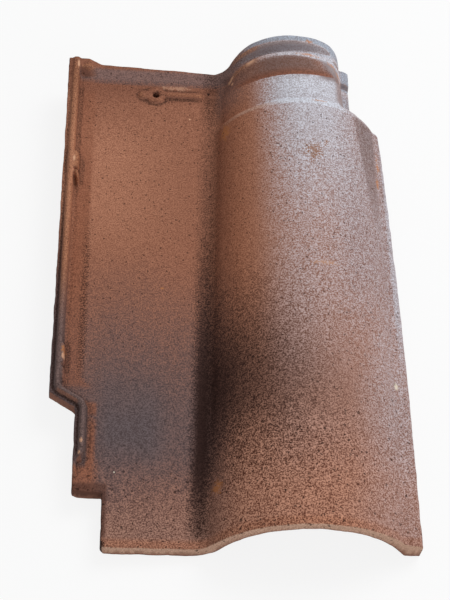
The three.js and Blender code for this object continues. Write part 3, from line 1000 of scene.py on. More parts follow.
@dataclass(frozen=True)
class Mesher:
    """Turns the body into a closed mesh: one vertex in each cell that the surface crosses."""

    cell: float = 1.25
    margin: float = 2.0
    triangles: int = 185_000

    def axes(self, lowest: Sequence[float], highest: Sequence[float]) -> list[Array]:
        """Places of the grid's planes along each axis."""
        spans = zip(lowest, highest)
        return [np.arange(low - self.margin, high + self.margin, self.cell) for low, high in spans]

    def sample(self, body: Body, axes: list[Array]) -> Array:
        """Field at every knot of the grid."""
        x, y, z = np.meshgrid(*axes, indexing="ij", sparse=True)
        flat_x = np.broadcast_to(x, (axes[0].size, axes[1].size, 1))
        flat_y = np.broadcast_to(y, (axes[0].size, axes[1].size, 1))
        return body.distance(flat_x, flat_y, z)

    def net(self, values: Array, axes: list[Array]) -> tuple[Array, Array]:
        """Vertices and quads of the surface where the field is zero.

        Args:
            values: field at the grid's knots.
            axes: places of the grid's planes.

        Returns:
            Vertex places and quads of vertex numbers, with faces pointing out of the clay.
        """
        inside = values < 0.0
        cells = tuple(size - 1 for size in values.shape)
        total = np.zeros((int(np.prod(cells)), 3))
        count = np.zeros(total.shape[0])
        rings = []
        for axis in range(3):
            second, third = (axis + 1) % 3, (axis + 2) % 3
            low = [slice(None)] * 3
            high = [slice(None)] * 3
            low[axis] = slice(None, -1)
            high[axis] = slice(1, None)
            at = np.array(np.nonzero(inside[tuple(low)] != inside[tuple(high)]))
            ahead = at.copy()
            ahead[axis] += 1
            start = values[tuple(at)]
            share = start / (start - values[tuple(ahead)])
            place = np.stack([axes[a][at[a]] for a in range(3)], axis=1)
            place[:, axis] += share * self.cell
            ring = []
            for back_second, back_third in ((1, 1), (0, 1), (0, 0), (1, 0)):
                cell = at.copy()
                cell[second] -= back_second
                cell[third] -= back_third
                ring.append(np.ravel_multi_index(tuple(cell), cells))
            for numbers in ring:
                count += np.bincount(numbers, minlength=count.size)
                for a in range(3):
                    total[:, a] += np.bincount(numbers, weights=place[:, a], minlength=count.size)
            quads = np.stack(ring, axis=1)
            outward = inside[tuple(at)]
            rings.append(np.where(outward[:, None], quads, quads[:, ::-1]))
        used = np.nonzero(count)[0]
        order = np.full(count.size, -1)
        order[used] = np.arange(used.size)
        return total[used] / count[used, None], order[np.concatenate(rings)]

    def build(
        self, body: Body, lowest: Sequence[float], highest: Sequence[float], name: str
    ) -> bpy.types.Mesh:
        """Meshes the body and thins the mesh where the surface is plain.

        Args:
            body: the field to mesh.
            lowest: lowest corner of the space that holds it.
            highest: highest corner of that space.
            name: name of the mesh.

        Returns:
            The mesh, in millimetres in the tile's own frame.
        """
        axes = self.axes(lowest, highest)
        points, quads = self.net(self.sample(body, axes), axes)
        points = body.settle(points)
        dense = bpy.data.meshes.new(name + "_dense")
        dense.from_pydata(points, [], quads.tolist())
        holder = bpy.data.objects.new(name + "_dense", dense)
        bpy.context.scene.collection.objects.link(holder)
        thin = holder.modifiers.new("thin", "DECIMATE")
        thin.ratio = min(1.0, self.triangles / (2.0 * len(quads)))
        graph = bpy.context.evaluated_depsgraph_get()
        mesh = bpy.data.meshes.new_from_object(holder.evaluated_get(graph))
        mesh.name = name
        bpy.data.objects.remove(holder)
        bpy.data.meshes.remove(dense)
        return mesh


# ------------------------------------------------------------------------------ setting down


@dataclass(frozen=True)
class Rest:
    """How the tile lies: on its right nib, its pan's nose and its lip's outer corner."""

    sheet: Sheet
    nibs: Nibs
    lip_ease: float = 1.0

    def turn(self) -> Matrix:
        """Rotation from the tile's own frame to the frame in which it lies."""
        sheet = self.sheet
        roll = sheet.body_roll(np.array(0.0))
        bend = sheet.nose_valley + sheet.pan_thickness
        rise = bend - float(roll.crown - roll.radius)
        reach = float(roll.radius) - sheet.roll_wall + bend
        flat = float(roll.centre_x) - np.sqrt(reach**2 - rise**2)
        nib = Vector((self.nibs.right_end, self.nibs.face_y, -self.nibs.depth))
        pan = Vector((flat, 0.0, 0.0))
        lip = Vector((float(sheet.edge_at(0.0)) - self.lip_ease, 0.0, sheet.pan_thickness))
        up = (lip - pan).cross(nib - pan).normalized()
        slope = Vector((0.0, 1.0, 0.0))
        slope = (slope - up * slope.dot(up)).normalized()
        return Matrix((slope.cross(up), slope, up))

    def placement(self, node: bpy.types.Object) -> Matrix:
        """Matrix from the tile's own millimetres to metres in the frame.

        Args:
            node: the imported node, whose lowest corner in the tile's frame is known.

        Returns:
            The placement.
        """
        turn = self.turn()
        back = turn.transposed()
        corners = [back @ vertex.co for vertex in node.data.vertices]
        lowest = Vector([min(corner[a] for corner in corners) for a in range(3)])
        lowest = lowest - Vector((0.0, 0.0, -self.nibs.depth)) * METRES_PER_MM
        scale = Matrix.Scale(METRES_PER_MM, 4)
        return Matrix.Translation(turn @ lowest) @ turn.to_4x4() @ scale


# ------------------------------------------------------------------------------ shader sheet


def display(red: int, green: int, blue: int) -> Colour:
    """Linear colour from display values out of 255."""
    shares = (red / 255.0, green / 255.0, blue / 255.0)
    return tuple(s / 12.92 if s <= 0.04045 else ((s + 0.055) / 1.055) ** 2.4 for s in shares)


class Value:
    """A number that varies over the surface; arithmetic on it adds Math nodes."""

    def __init__(self, sheet: ShaderSheet, socket: bpy.types.NodeSocket) -> None:
        """Wraps a socket of a shader sheet."""
        self.sheet = sheet
        self.socket = socket

    def _math(self, operation: str, first: Number, second: Number) -> Value:
        """One Math node."""
        return self.sheet.value("ShaderNodeMath", {"operation": operation}, {0: first, 1: second})

    def __add__(self, other: Number) -> Value:
        """Sum."""
        return self._math("ADD", self, other)

    def __sub__(self, other: Number) -> Value:
        """Difference."""
        return self._math("SUBTRACT", self, other)

    def __rsub__(self, other: Number) -> Value:
        """Difference, with a plain number first."""
        return self._math("SUBTRACT", other, self)

    def __mul__(self, other: Number) -> Value:
        """Product."""
        return self._math("MULTIPLY", self, other)

    def __truediv__(self, other: Number) -> Value:
        """Quotient."""
        return self._math("DIVIDE", self, other)

    def __or__(self, other: Number) -> Value:
        """Larger of two."""
        return self._math("MAXIMUM", self, other)

    __radd__ = __add__
    __rmul__ = __mul__

    def ease(self, start: Number, end: Number) -> Value:
        """0 at start and 1 at end, with a soft start and end."""
        return self.sheet.value(
            "ShaderNodeMapRange",
            {"interpolation_type": "SMOOTHSTEP"},
            {"Value": self, "From Min": start, "From Max": end},
            "Result",
        )

    def fall(self, start: float, end: float) -> Value:
        """1 at start and 0 at end, with a soft start and end."""
        return 1.0 - self.ease(start, end)

    def band(self, start: float, full: float, fade: float, end: float) -> Value:
        """Rises from start to full, holds, and falls from fade to end."""
        return self.ease(start, full) * self.fall(fade, end)


Number = Union[Value, float]
Input = Union[Value, bpy.types.NodeSocket, float, tuple]


class ShaderSheet:
    """The nodes of a material or of the world."""

    PICK_SOFTNESS = 0.02
    SPECK_RAGGED = 0.45
    LEAST_SPECK = 0.45
    SPECK_CORE = 0.55

    def __init__(self, owner: Union[bpy.types.Material, bpy.types.World]) -> None:
        """Empties the nodes of their owner."""
        owner.use_nodes = True
        self.owner = owner
        self.tree = owner.node_tree
        self.tree.nodes.clear()

    def node(self, kind: str, settings: dict, inputs: dict[Union[int, str], Input]) -> bpy.types.Node:
        """Adds one node.

        Args:
            kind: the node's type.
            settings: properties, which are set first.
            inputs: numbers, colours or links of its sockets, by name or place.

        Returns:
            The node.
        """
        made = self.tree.nodes.new(kind)
        for key, setting in settings.items():
            setattr(made, key, setting)
        for key, source in inputs.items():
            socket = made.inputs[key]
            source = source.socket if isinstance(source, Value) else source
            if isinstance(source, bpy.types.NodeSocket):
                self.tree.links.new(source, socket)
            elif isinstance(source, tuple) and socket.type == "RGBA":
                socket.default_value = (*source, 1.0)
            else:
                socket.default_value = source
        return made

    def value(self, kind: str, settings: dict, inputs: dict, output: Union[int, str] = 0) -> Value:
        """Adds one node and wraps one of its outputs."""
        return Value(self, self.node(kind, settings, inputs).outputs[output])

    def mix(self, share: Number, first: Input, second: Input, way: str = "MIX") -> bpy.types.NodeSocket:
        """Blend of two colours."""
        settings = {"data_type": "RGBA", "blend_type": way}
        return self.node("ShaderNodeMix", settings, {0: share, 6: first, 7: second}).outputs[2]

    def vector(self, operation: str, first: Input, second: Input) -> bpy.types.NodeSocket:
        """One Vector Math node."""
        settings = {"operation": operation}
        return self.node("ShaderNodeVectorMath", settings, {0: first, 1: second}).outputs[0]

    def stored(self, name: str) -> bpy.types.Node:
        """A value that the mesh carries at its vertices."""
        return self.node("ShaderNodeAttribute", {"attribute_name": name}, {})

    def noise(self, place: Input, size: float, detail: float = 2.0, roughness: float = 0.5) -> Value:
        """Cloudy noise around 0.5 whose lumps are about a size across, in millimetres."""
        inputs = {"Vector": place, "Scale": 1.0 / size, "Detail": detail, "Roughness": roughness}
        return self.value("ShaderNodeTexNoise", {}, inputs)

    def speckle(self, place: Input, size: float, share: float, radius: float, ragged: Value) -> Value:
        """Ragged specks on a share of the cells of a given size, in millimetres.

        Args:
            place: where to read it.
            size: size of a cell.
            share: share of the cells with a speck.
            radius: largest speck, in cells.
            ragged: noise for the edges.

        Returns:
            1 inside a speck and 0 outside.
        """
        inputs = {"Vector": place, "Scale": 1.0 / size}
        cells = self.node("ShaderNodeTexVoronoi", {"feature": "F1"}, inputs)
        picks = self.node("ShaderNodeSeparateColor", {}, {0: cells.outputs["Color"]})
        picked = Value(self, picks.outputs[0])
        spread = Value(self, picks.outputs[1])
        apart = Value(self, cells.outputs["Distance"]) + ragged * (radius * self.SPECK_RAGGED)
        chosen = picked.fall(share, share + self.PICK_SOFTNESS)
        wide = radius * (self.LEAST_SPECK + spread * (1.0 - self.LEAST_SPECK))
        return chosen * (apart / wide).fall(self.SPECK_CORE, 1.0)


# ------------------------------------------------------------------------------ finishes

LEAST_UPRIGHT = 0.15
SMOKED_SWAY = 0.3
SMOKED_MARGIN: Stretch = (20.0, 60.0, 160.0, 235.0)
STORED_NUMBERS = ("crest", "glazed", "on_roll", "sheltered", "inset")
MEASURES = ("x", "y", "from_roll", "inset", "slope", "lean", "upright", "crest")
MARK_COLOURS = {
    Mark.CHIP: display(228, 176, 142),
    Mark.RUST: display(198, 130, 80),
    Mark.OCHRE: display(150, 100, 62),
    Mark.LIME: display(230, 216, 196),
    Mark.PIT: display(46, 28, 23),
    Mark.SCUFF: display(198, 152, 126),
    Mark.LUMP: display(136, 92, 74),
}


@dataclass(frozen=True)
class Noises:
    """Sizes in millimetres and contrasts of the noises that several layers share."""

    pepper_size: float = 1.05
    pepper_detail: float = 1.0
    pepper_contrast: Rise = (0.32, 0.68)
    blotch_size: float = 3.4
    blotch_detail: float = 2.0
    blotch_roughness: float = 0.6
    blotch_contrast: Rise = (0.28, 0.72)
    drift_size: float = 46.0
    drift_detail: float = 2.0
    drift_reach: float = 34.0
    soot_cloudiness: float = 0.5

    def pepper(self, sheet: ShaderSheet, place: Input) -> Value:
        """Fine grains, between -0.5 and 0.5."""
        noise = sheet.noise(place, self.pepper_size, self.pepper_detail)
        return noise.ease(*self.pepper_contrast) - 0.5

    def blotch(self, sheet: ShaderSheet, place: Input) -> Value:
        """Broad blotches, between -0.5 and 0.5."""
        noise = sheet.noise(place, self.blotch_size, self.blotch_detail, self.blotch_roughness)
        return noise.ease(*self.blotch_contrast) - 0.5

    def drift(self, sheet: ShaderSheet, place: Input) -> Value:
        """How far soft limits wander, in millimetres."""
        return (sheet.noise(place, self.drift_size, self.drift_detail) - 0.5) * self.drift_reach


@dataclass(frozen=True)
class Ground:
    """What the finish knows of each place on the clay."""

    place: bpy.types.NodeSocket
    x: Value
    y: Value
    from_roll: Value
    slope: Value
    lean: Value
    upright: Value
    crest: Value
    glazed: Value
    on_roll: Value
    sheltered: Value
    inset: Value
    smoked: Value
    pepper: Value
    grit: Value
    blotch: Value
    soot: Value
    drift: Value

    @classmethod
    def read(cls, sheet: ShaderSheet, roll_start: float, roll_shift: float) -> Ground:
        """Reads what the mesh carries, and adds the noises that several layers share.

        Args:
            sheet: the material's nodes.
            roll_start: where the roll's left foot stands at the nose.
            roll_shift: how far that foot shifts for each millimetre along the tile.

        Returns:
            The values.
        """
        noises = Noises()
        place = sheet.stored("place").outputs["Vector"]
        axes = sheet.node("ShaderNodeSeparateXYZ", {}, {0: place})
        facing = sheet.node("ShaderNodeSeparateXYZ", {}, {0: sheet.stored("facing").outputs["Vector"]})
        x, y = Value(sheet, axes.outputs[0]), Value(sheet, axes.outputs[1])
        slope, upright = Value(sheet, facing.outputs[1]), Value(sheet, facing.outputs[2])
        kept = {name: Value(sheet, sheet.stored(name).outputs["Fac"]) for name in STORED_NUMBERS}
        pepper = noises.pepper(sheet, place)
        blotch = noises.blotch(sheet, place)
        drift = noises.drift(sheet, place)
        return cls(
            place=place,
            x=x,
            y=y,
            from_roll=x - roll_start - y * roll_shift,
            slope=slope,
            lean=slope / (upright + LEAST_UPRIGHT),
            upright=upright,
            **kept,
            smoked=(y + drift * SMOKED_SWAY).band(*SMOKED_MARGIN),
            pepper=pepper,
            grit=pepper * -1.0,
            blotch=blotch,
            soot=blotch * -noises.soot_cloudiness - pepper,
            drift=drift,
        )


@dataclass(frozen=True)
class Patch:
    """A soft-edged part of the tile: where all the stretches that it names overlap.

    A stretch of two numbers goes from none at the first to full at the second. One of four
    rises between the first two and falls between the last two. Sway is how far the drift
    moves the limits in x and y.
    """

    x: Stretch = ()
    y: Stretch = ()
    from_roll: Stretch = ()
    inset: Stretch = ()
    slope: Stretch = ()
    lean: Stretch = ()
    upright: Stretch = ()
    crest: Stretch = ()
    share: float = 1.0
    sway: tuple[float, float] = (0.0, 0.0)

    def over(self, at: Ground) -> Value:
        """How fully the patch covers each place.

        Args:
            at: what is known of each place.

        Returns:
            The share, which is the patch's own share at its fullest.
        """
        sways = {"x": self.sway[0], "y": self.sway[1]}
        whole: Number = self.share
        for name in MEASURES:
            stretch = getattr(self, name)
            if stretch:
                measure = getattr(at, name)
                if sways.get(name):
                    measure = measure + at.drift * sways[name]
                part = measure.band(*stretch) if len(stretch) > 2 else measure.ease(*stretch)
                whole = part if whole == 1.0 else part * whole
        return whole

    def off(self, at: Ground) -> Value:
        """What the patch leaves of something that it covers."""
        return 1.0 - self.over(at)


@dataclass(frozen=True)
class Tone:
    """One colour laid over a share of the surface, with a speckled edge."""

    colour: Colour
    speckle: float = 0.0

    def lay(self, under: Input, share: Value, noise: Value) -> bpy.types.NodeSocket:
        """Lays the colour over another one.

        Args:
            under: the colour below.
            share: how far this one covers it.
            noise: speckle between -0.5 and 0.5.

        Returns:
            The blended colour.
        """
        if self.speckle:
            share = share + share * (1.0 - share) * noise * self.speckle
        return share.sheet.mix(share, under, self.colour)


class Layer(ABC):
    """One step of the finish, laid over the steps before it."""

    @abstractmethod
    def lay(self, under: Input, at: Ground) -> Input:
        """Lays the step over the colour below.

        Args:
            under: the colour below.
            at: what is known of each place.

        Returns:
            The colour with this step on it.
        """


@dataclass(frozen=True)
class PanSlip(Layer):
    """The pan's brown slip: lighter in its upper left, dull at the head, rosy at the nose."""

    light: Tone = Tone(display(180, 123, 97))
    upper_left: Patch = Patch(x=(112.0, 25.0), y=(205.0, 300.0, 338.0, 390.0))
    margin: Patch = Patch(inset=(4.0, 2.6), y=(280.0, 340.0), share=0.8)
    dull: Tone = Tone(display(141, 92, 72))
    head: Patch = Patch(y=(384.0, 408.0), share=0.9)
    rosy: Tone = Tone(display(158, 117, 101), 0.8)
    nose: Patch = Patch(y=(80.0, 0.0), sway=(0.0, 0.3))

    def lay(self, under: Input, at: Ground) -> Input:
        """Tints the slip over the pan."""
        colour = self.light.lay(under, self.upper_left.over(at) | self.margin.over(at), at.blotch)
        colour = self.dull.lay(colour, self.head.over(at), at.blotch)
        return self.rosy.lay(colour, self.nose.over(at), at.blotch)


@dataclass(frozen=True)
class RollSlip(Layer):
    """The roll's slip, redder on its left flank and duller down the right, with painted shade near the
    step.
    """

    red: Tone = Tone(display(176, 116, 88))
    left: Patch = Patch(x=(165.0, 130.0), y=(90.0, 220.0))
    rosy: Tone = Tone(display(160, 120, 106), 0.9)
    low: Patch = Patch(x=(142.0, 172.0), y=(15.0, 85.0, 100.0, 180.0), share=0.8)
    corner: Patch = Patch(x=(190.0, 225.0), y=(100.0, 4.0), share=0.5)
    dull: Tone = Tone(display(146, 106, 93), 0.8)
    right: Patch = Patch(x=(195.0, 225.0), y=(110.0, 240.0), share=0.8)
    # Painted shade down the right flank where it steepens towards the lip, partly a thinner bloom there.
    shade: Tone = Tone(display(118, 96, 90), 0.8)
    fold: Patch = Patch(x=(228.0, 238.0, 243.0, 251.0), y=(270.0, 350.0), share=0.62)

    def lay(self, under: Input, at: Ground) -> Input:
        """Tints the slip over the roll."""
        colour = self.red.lay(under, self.left.over(at), at.blotch)
        colour = self.rosy.lay(colour, self.low.over(at) | self.corner.over(at), at.blotch)
        colour = self.dull.lay(colour, self.right.over(at), at.blotch)
        return self.shade.lay(colour, self.fold.over(at), at.blotch)


@dataclass(frozen=True)
class PanSmoke(Layer):
    """Where the kiln's smoke turned the pan's slip grey; also a band of painted shade before the head rib.
    """

    grey: Tone = Tone(display(103, 89, 90), 1.5)
    flashed: Patch = Patch(y=(-6.0, 86.0, 90.0, 258.0), sway=(0.0, 1.0))
    less_right: Patch = Patch(x=(70.0, 92.0), share=0.16)
    less_left: Patch = Patch(x=(46.0, 26.0), share=0.2)
    pale: Tone = Tone(display(134, 108, 103), 1.5)
    head: Patch = Patch(x=(7.0, 11.0), y=(410.5, 418.0), share=0.85)
    head_end: float = 420.5
    head_fade: Rise = (2.0, -2.5)
    step: Patch = Patch(x=(14.0, 28.0), share=5.0)
    # Painted shade, in the smoke's grey, across the band just below the low rib at the pan's head.
    head_shade: Patch = Patch(x=(14.0, 30.0), y=(409.5, 412.0, 414.5, 418.5), share=0.4)

    def lay(self, under: Input, at: Ground) -> Input:
        """Lays the grey and the painted shade over the pan."""
        pan = 1.0 - at.on_roll
        flashed = self.flashed.over(at) * pan * self.less_right.off(at) * self.less_left.off(at)
        colour = self.grey.lay(under, flashed, at.soot)
        below_end = (at.y - self.head_end - self.step.over(at)).ease(*self.head_fade)
        colour = self.pale.lay(colour, self.head.over(at) * below_end * pan, at.soot)
        return self.grey.lay(colour, self.head_shade.over(at) * pan, at.soot)


@dataclass(frozen=True)
class RollSmoke(Layer):
    """Where the smoke turned the roll's flank brown and the valley beside it black."""

    brown: Tone = Tone(display(64, 42, 37), 1.7)
    flank: Patch = Patch(
        x=(226.0, 112.0),
        y=(16.0, 114.0, 122.0, 240.0),
        from_roll=(-6.0, 4.0),
        share=0.94,
        sway=(-0.3, 0.5),
    )
    pale: Tone = Tone(display(134, 108, 103), 1.5)
    cheek: Patch = Patch(x=(158.0, 134.0), y=(366.0, 396.0), from_roll=(-4.0, 4.0), share=0.5)
    black: Tone = Tone(display(54, 35, 31), 1.8)
    valley: Patch = Patch(from_roll=(-16.0, -6.0, -3.0, 8.5))
    clear_nose: Patch = Patch(from_roll=(0.0, 6.0), y=(90.0, 30.0))
    middle: Patch = Patch(y=(-30.0, 70.0, 112.0, 300.0), share=0.6)
    whole: Patch = Patch(y=(2.0, 14.0), share=0.38)
    thin: Patch = Patch(y=(300.0, 345.0, 360.0, 380.0), share=0.3)
    head: Patch = Patch(y=(366.0, 384.0), share=0.05)

    def lay(self, under: Input, at: Ground) -> Input:
        """Lays the brown and the black over the roll and its foot."""
        colour = self.brown.lay(under, self.flank.over(at), at.soot)
        colour = self.pale.lay(colour, self.cheek.over(at), at.soot)
        along = (self.middle.over(at) + self.whole.over(at)) * self.thin.off(at) + self.head.over(at)
        valley = self.valley.over(at) * self.clear_nose.off(at) * along
        return self.black.lay(colour, valley, at.soot)


@dataclass(frozen=True)
class Channels(Layer):
    """The channels along the margin, which the smoke hardly reached, and their dark side."""

    bare: Tone = Tone(display(150, 95, 71), 1.0)
    bare_share: float = 0.8
    less_smoked: Patch = Patch(y=(104.0, 126.0, 170.0, 230.0), share=0.2)
    less_head: Patch = Patch(y=(290.0, 380.0), share=0.35)
    corner: Patch = Patch(x=(40.0, 31.0), y=(70.0, 60.0), share=0.75)
    wedge: Patch = Patch(
        x=(38.0, 34.0), y=(98.0, 104.0, 109.0, 114.0), inset=(8.2, 9.4, 14.0, 16.4), share=0.7
    )
    dark: Tone = Tone(display(64, 42, 36), 3.0)
    side: Patch = Patch(y=(122.0, 150.0, 210.0, 300.0), inset=(17.0, 21.0, 23.0, 26.0), share=0.38)

    def lay(self, under: Input, at: Ground) -> Input:
        """Lays both over the smoked slip."""
        along = self.bare_share - self.less_smoked.over(at) - self.less_head.over(at)
        bare = (at.sheltered * along) | self.corner.over(at) | self.wedge.over(at)
        colour = self.bare.lay(under, bare, at.pepper)
        return self.dark.lay(colour, self.side.over(at), at.grit)


@dataclass(frozen=True)
class BloomAndSheen(Layer):
    """Pale bluish bloom on the roll, thickest towards the head; partly painted sheen and highlight."""

    pale: Tone = Tone(display(197, 193, 200), 1.9)
    cloudiness: float = 0.35
    thin: Patch = Patch(y=(90.0, 220.0), share=0.34, sway=(0.0, 0.5))
    thick: Patch = Patch(y=(222.0, 366.0), share=0.6, sway=(0.0, 0.5))
    crown: Patch = Patch(x=(145.0, 186.0), sway=(0.2, 0.0))
    less_right: Patch = Patch(x=(202.0, 246.0), y=(230.0, 350.0), share=0.72, sway=(0.2, 0.5))
    low: Patch = Patch(x=(205.0, 250.0), sway=(0.2, 0.0))
    low_share: float = 0.13
    low_more: Patch = Patch(y=(10.0, 130.0), share=0.22, sway=(0.0, 0.5))
    collar: Patch = Patch(y=(361.0, 366.0))
    floor: Patch = Patch(x=(143.0, 175.0))
    less_end: Patch = Patch(x=(214.0, 236.0), share=0.75)
    # On the collar the pale tone is kept off walls that face the nose: painted sheen on the level faces
    # only.
    wall: Patch = Patch(lean=(-0.1, -0.4))
    wall_less: float = 0.95
    wall_upper: Patch = Patch(y=(405.0, 412.0), share=0.3)
    # Painted highlight along the lip's outer edge.
    lip: Patch = Patch(x=(251.0, 255.0), y=(70.0, 200.0), share=0.75)
    tab: Patch = Patch(x=(240.0, 244.0), y=(368.0, 372.0), share=0.25)

    def lay(self, under: Input, at: Ground) -> Input:
        """Lays the bloom and the painted sheen over the slip."""
        along = self.thin.over(at) + self.thick.over(at)
        upper = self.crown.over(at) * along * self.less_right.off(at)
        lower = self.low.over(at) * (self.low_share + self.low_more.over(at))
        collar = self.collar.over(at)
        walls = self.wall.over(at) * (self.wall_less - self.wall_upper.over(at))
        floor = self.floor.over(at) * self.less_end.off(at) * (1.0 - walls)
        thick = ((upper | lower) * (1.0 - collar) + floor * collar) * at.on_roll
        share = thick | self.tab.over(at) | self.lip.over(at)
        return self.pale.lay(under, share, at.pepper + at.blotch * self.cloudiness)


@dataclass(frozen=True)
class CollarSheenAndBloom(Layer):
    """Painted highlight on the collar's ribs and riser, some pale bloom, and painted grey sheen on rib
    tops.
    """

    # Painted highlight on the rib slopes that face the head and on the riser; partly pale bloom on the
    # floor.
    white: Tone = Tone(display(216, 218, 227), 0.4)
    ribs: Patch = Patch(x=(138.0, 172.0), y=(395.0, 400.0), slope=(0.3, 0.75))
    rib_share: float = 0.6
    rib_upper: Patch = Patch(y=(409.5, 414.0), share=0.4)
    riser: Patch = Patch(x=(150.0, 176.0), y=(361.5, 364.0, 369.5, 372.5), share=0.9)
    less_end: Patch = Patch(x=(200.0, 226.0), share=0.55)
    floor: Patch = Patch(x=(160.0, 182.0, 205.0, 222.0), y=(372.0, 376.0, 390.0, 393.0), share=0.4)
    tops: Patch = Patch(x=(124.0, 148.0), lean=(-0.14, -0.03))
    lower_top: Patch = Patch(y=(404.0, 406.5, 413.0, 416.0), share=0.22)
    # Painted grey sheen on the level tops of the ribs and on the tab.
    grey_sheen: Tone = Tone(display(162, 168, 180), 0.8)
    upper_top: Patch = Patch(x=(226.0, 222.0), y=(415.0, 420.0), share=0.85)
    tab: Patch = Patch(x=(223.5, 227.0))
    tab_head: Patch = Patch(y=(409.0, 413.0), share=0.85)
    tab_foot: Patch = Patch(y=(364.0, 372.0, 402.0, 409.0), share=0.45)
    rosy: Tone = Tone(display(200, 164, 146), 1.0)
    seam: Patch = Patch(x=(170.0, 150.0), y=(361.0, 363.5, 366.0, 368.5), share=0.6)

    def lay(self, under: Input, at: Ground) -> Input:
        """Lays the painted highlight, the painted grey sheen and the rosy seam over the bloom."""
        tops = self.tops.over(at) * at.on_roll
        ribs = self.ribs.over(at) * (self.rib_share - self.rib_upper.over(at))
        riser = self.riser.over(at) * self.less_end.off(at)
        sheen_and_bloom = ribs | riser | self.floor.over(at) | (tops * self.lower_top.over(at))
        colour = self.white.lay(under, sheen_and_bloom * at.on_roll, at.pepper)
        tab = self.tab.over(at) * (self.tab_head.over(at) + self.tab_foot.over(at))
        colour = self.grey_sheen.lay(colour, (tops * self.upper_top.over(at)) | tab, at.pepper)
        return self.rosy.lay(colour, self.seam.over(at) * at.on_roll, at.pepper)


@dataclass(frozen=True)
class MarginWear(Layer):
    """The smoky grey rib and the dull ledge along the left margin."""

    grey: Tone = Tone(display(108, 92, 91), 1.6)
    rib: Patch = Patch(inset=(9.5, 8.0), y=(58.0, 64.0), share=0.85)
    dull: Tone = Tone(display(102, 82, 80), 1.0)
    ledge: Patch = Patch(x=(44.0, 40.0), y=(56.0, 62.0), inset=(4.2, 2.6), share=0.7)
    ledge_end: Patch = Patch(y=(200.0, 290.0))

    def lay(self, under: Input, at: Ground) -> Input:
        """Lays both over the slip."""
        colour = self.grey.lay(under, self.rib.over(at) * at.smoked, at.pepper)
        return self.dull.lay(colour, self.ledge.over(at) * self.ledge_end.off(at), at.pepper)


@dataclass(frozen=True)
class WallShade(Layer):
    """Painted shade on walls that face the nose and on the right flanks of the collar and the roll."""

    # Brown painted shade on every wall that faces the nose, off the collar.
    wall: Tone = Tone(display(152, 106, 88), 0.8)
    shaded_front: Patch = Patch(slope=(-0.45, -0.85), share=0.8)
    collar: Patch = Patch(y=(300.0, 360.0))
    # Grey painted shade on the collar's walls that face the nose, and at the right ends of its ribs.
    bare: Tone = Tone(display(128, 104, 98), 1.4)
    hollow: Patch = Patch(lean=(-0.15, -0.5))
    hollow_share: float = 0.76
    hollow_upper: Patch = Patch(y=(405.0, 412.0), share=0.2)
    less_left: Patch = Patch(x=(162.0, 146.0), share=0.45)
    end: Patch = Patch(x=(198.0, 208.0, 217.0, 222.0), y=(391.0, 395.0, 406.0, 411.0), share=0.65)
    # Paler painted shade on the head rib's wall that faces the nose.
    pale: Tone = Tone(display(164, 156, 160), 1.4)
    upper: Patch = Patch(
        x=(126.0, 142.0, 214.0, 222.0), y=(406.0, 410.0), lean=(-0.1, -0.35), share=0.85
    )
    # Brown painted shade at the foot of the second rib's wall.
    brown: Tone = Tone(display(146, 93, 72), 1.2)
    foot: Patch = Patch(y=(389.5, 392.5, 396.5, 402.0), lean=(-0.08, -0.3), share=0.8)
    # Dull painted shade on the collar's right flank and on the roll's right flank below the step.
    dull: Tone = Tone(display(120, 94, 88), 0.8)
    right: Patch = Patch(x=(213.0, 218.0, 223.0, 227.0), y=(368.0, 376.0, 396.0, 403.0), share=0.55)
    wedge: Patch = Patch(x=(250.0, 246.0), y=(244.0, 300.0, 361.0, 365.0), share=0.4)
    wedge_x: float = 228.0
    wedge_y: float = 362.0
    wedge_slant: float = 0.13
    wedge_edge: Rise = (0.0, 2.5)

    def lay(self, under: Input, at: Ground) -> Input:
        """Lays the painted shade over the finish."""
        collar = at.on_roll * self.collar.over(at)
        colour = self.wall.lay(under, self.shaded_front.over(at) * (1.0 - collar), at.pepper)
        hollow = self.hollow.over(at) * (self.hollow_share - self.hollow_upper.over(at))
        hollow = hollow * self.less_left.off(at) | self.end.over(at)
        colour = self.bare.lay(colour, hollow * collar, at.pepper)
        colour = self.pale.lay(colour, self.upper.over(at) * collar, at.pepper)
        colour = self.brown.lay(colour, self.foot.over(at) * collar, at.pepper)
        colour = self.dull.lay(colour, self.right.over(at), at.pepper)
        past = at.x - self.wedge_x - (self.wedge_y - at.y) * self.wedge_slant
        wedge = past.ease(*self.wedge_edge) * self.wedge.over(at)
        return self.dull.lay(colour, wedge, at.pepper)


@dataclass(frozen=True)
class NoseShadeAndWear(Layer):
    """Painted shade down the side of the notch at the nose, the rosy rim and the pale cut face."""

    # Painted shade where the nose's left edge rounds over.
    dark: Tone = Tone(display(96, 64, 54), 1.4)
    side: Patch = Patch(x=(45.0, 42.4), y=(3.0, 9.0, 46.0, 50.0), share=0.8)
    rosy: Tone = Tone(display(168, 113, 88), 0.8)
    rim: Patch = Patch(y=(9.0, 4.0), upright=(0.2, 0.7))
    rim_share: float = 0.7
    less_end: Patch = Patch(x=(190.0, 240.0), share=0.3)
    pale: Tone = Tone(display(206, 166, 143), 0.4)
    face: Patch = Patch(y=(4.0, 2.0), slope=(-0.4, -0.8))

    def lay(self, under: Input, at: Ground) -> Input:
        """Lays the three over the finish."""
        colour = self.dark.lay(under, self.side.over(at), at.pepper)
        rim = self.rim.over(at) * (self.rim_share - self.less_end.over(at))
        colour = self.rosy.lay(colour, rim, at.pepper)
        return self.pale.lay(colour, self.face.over(at), at.pepper)


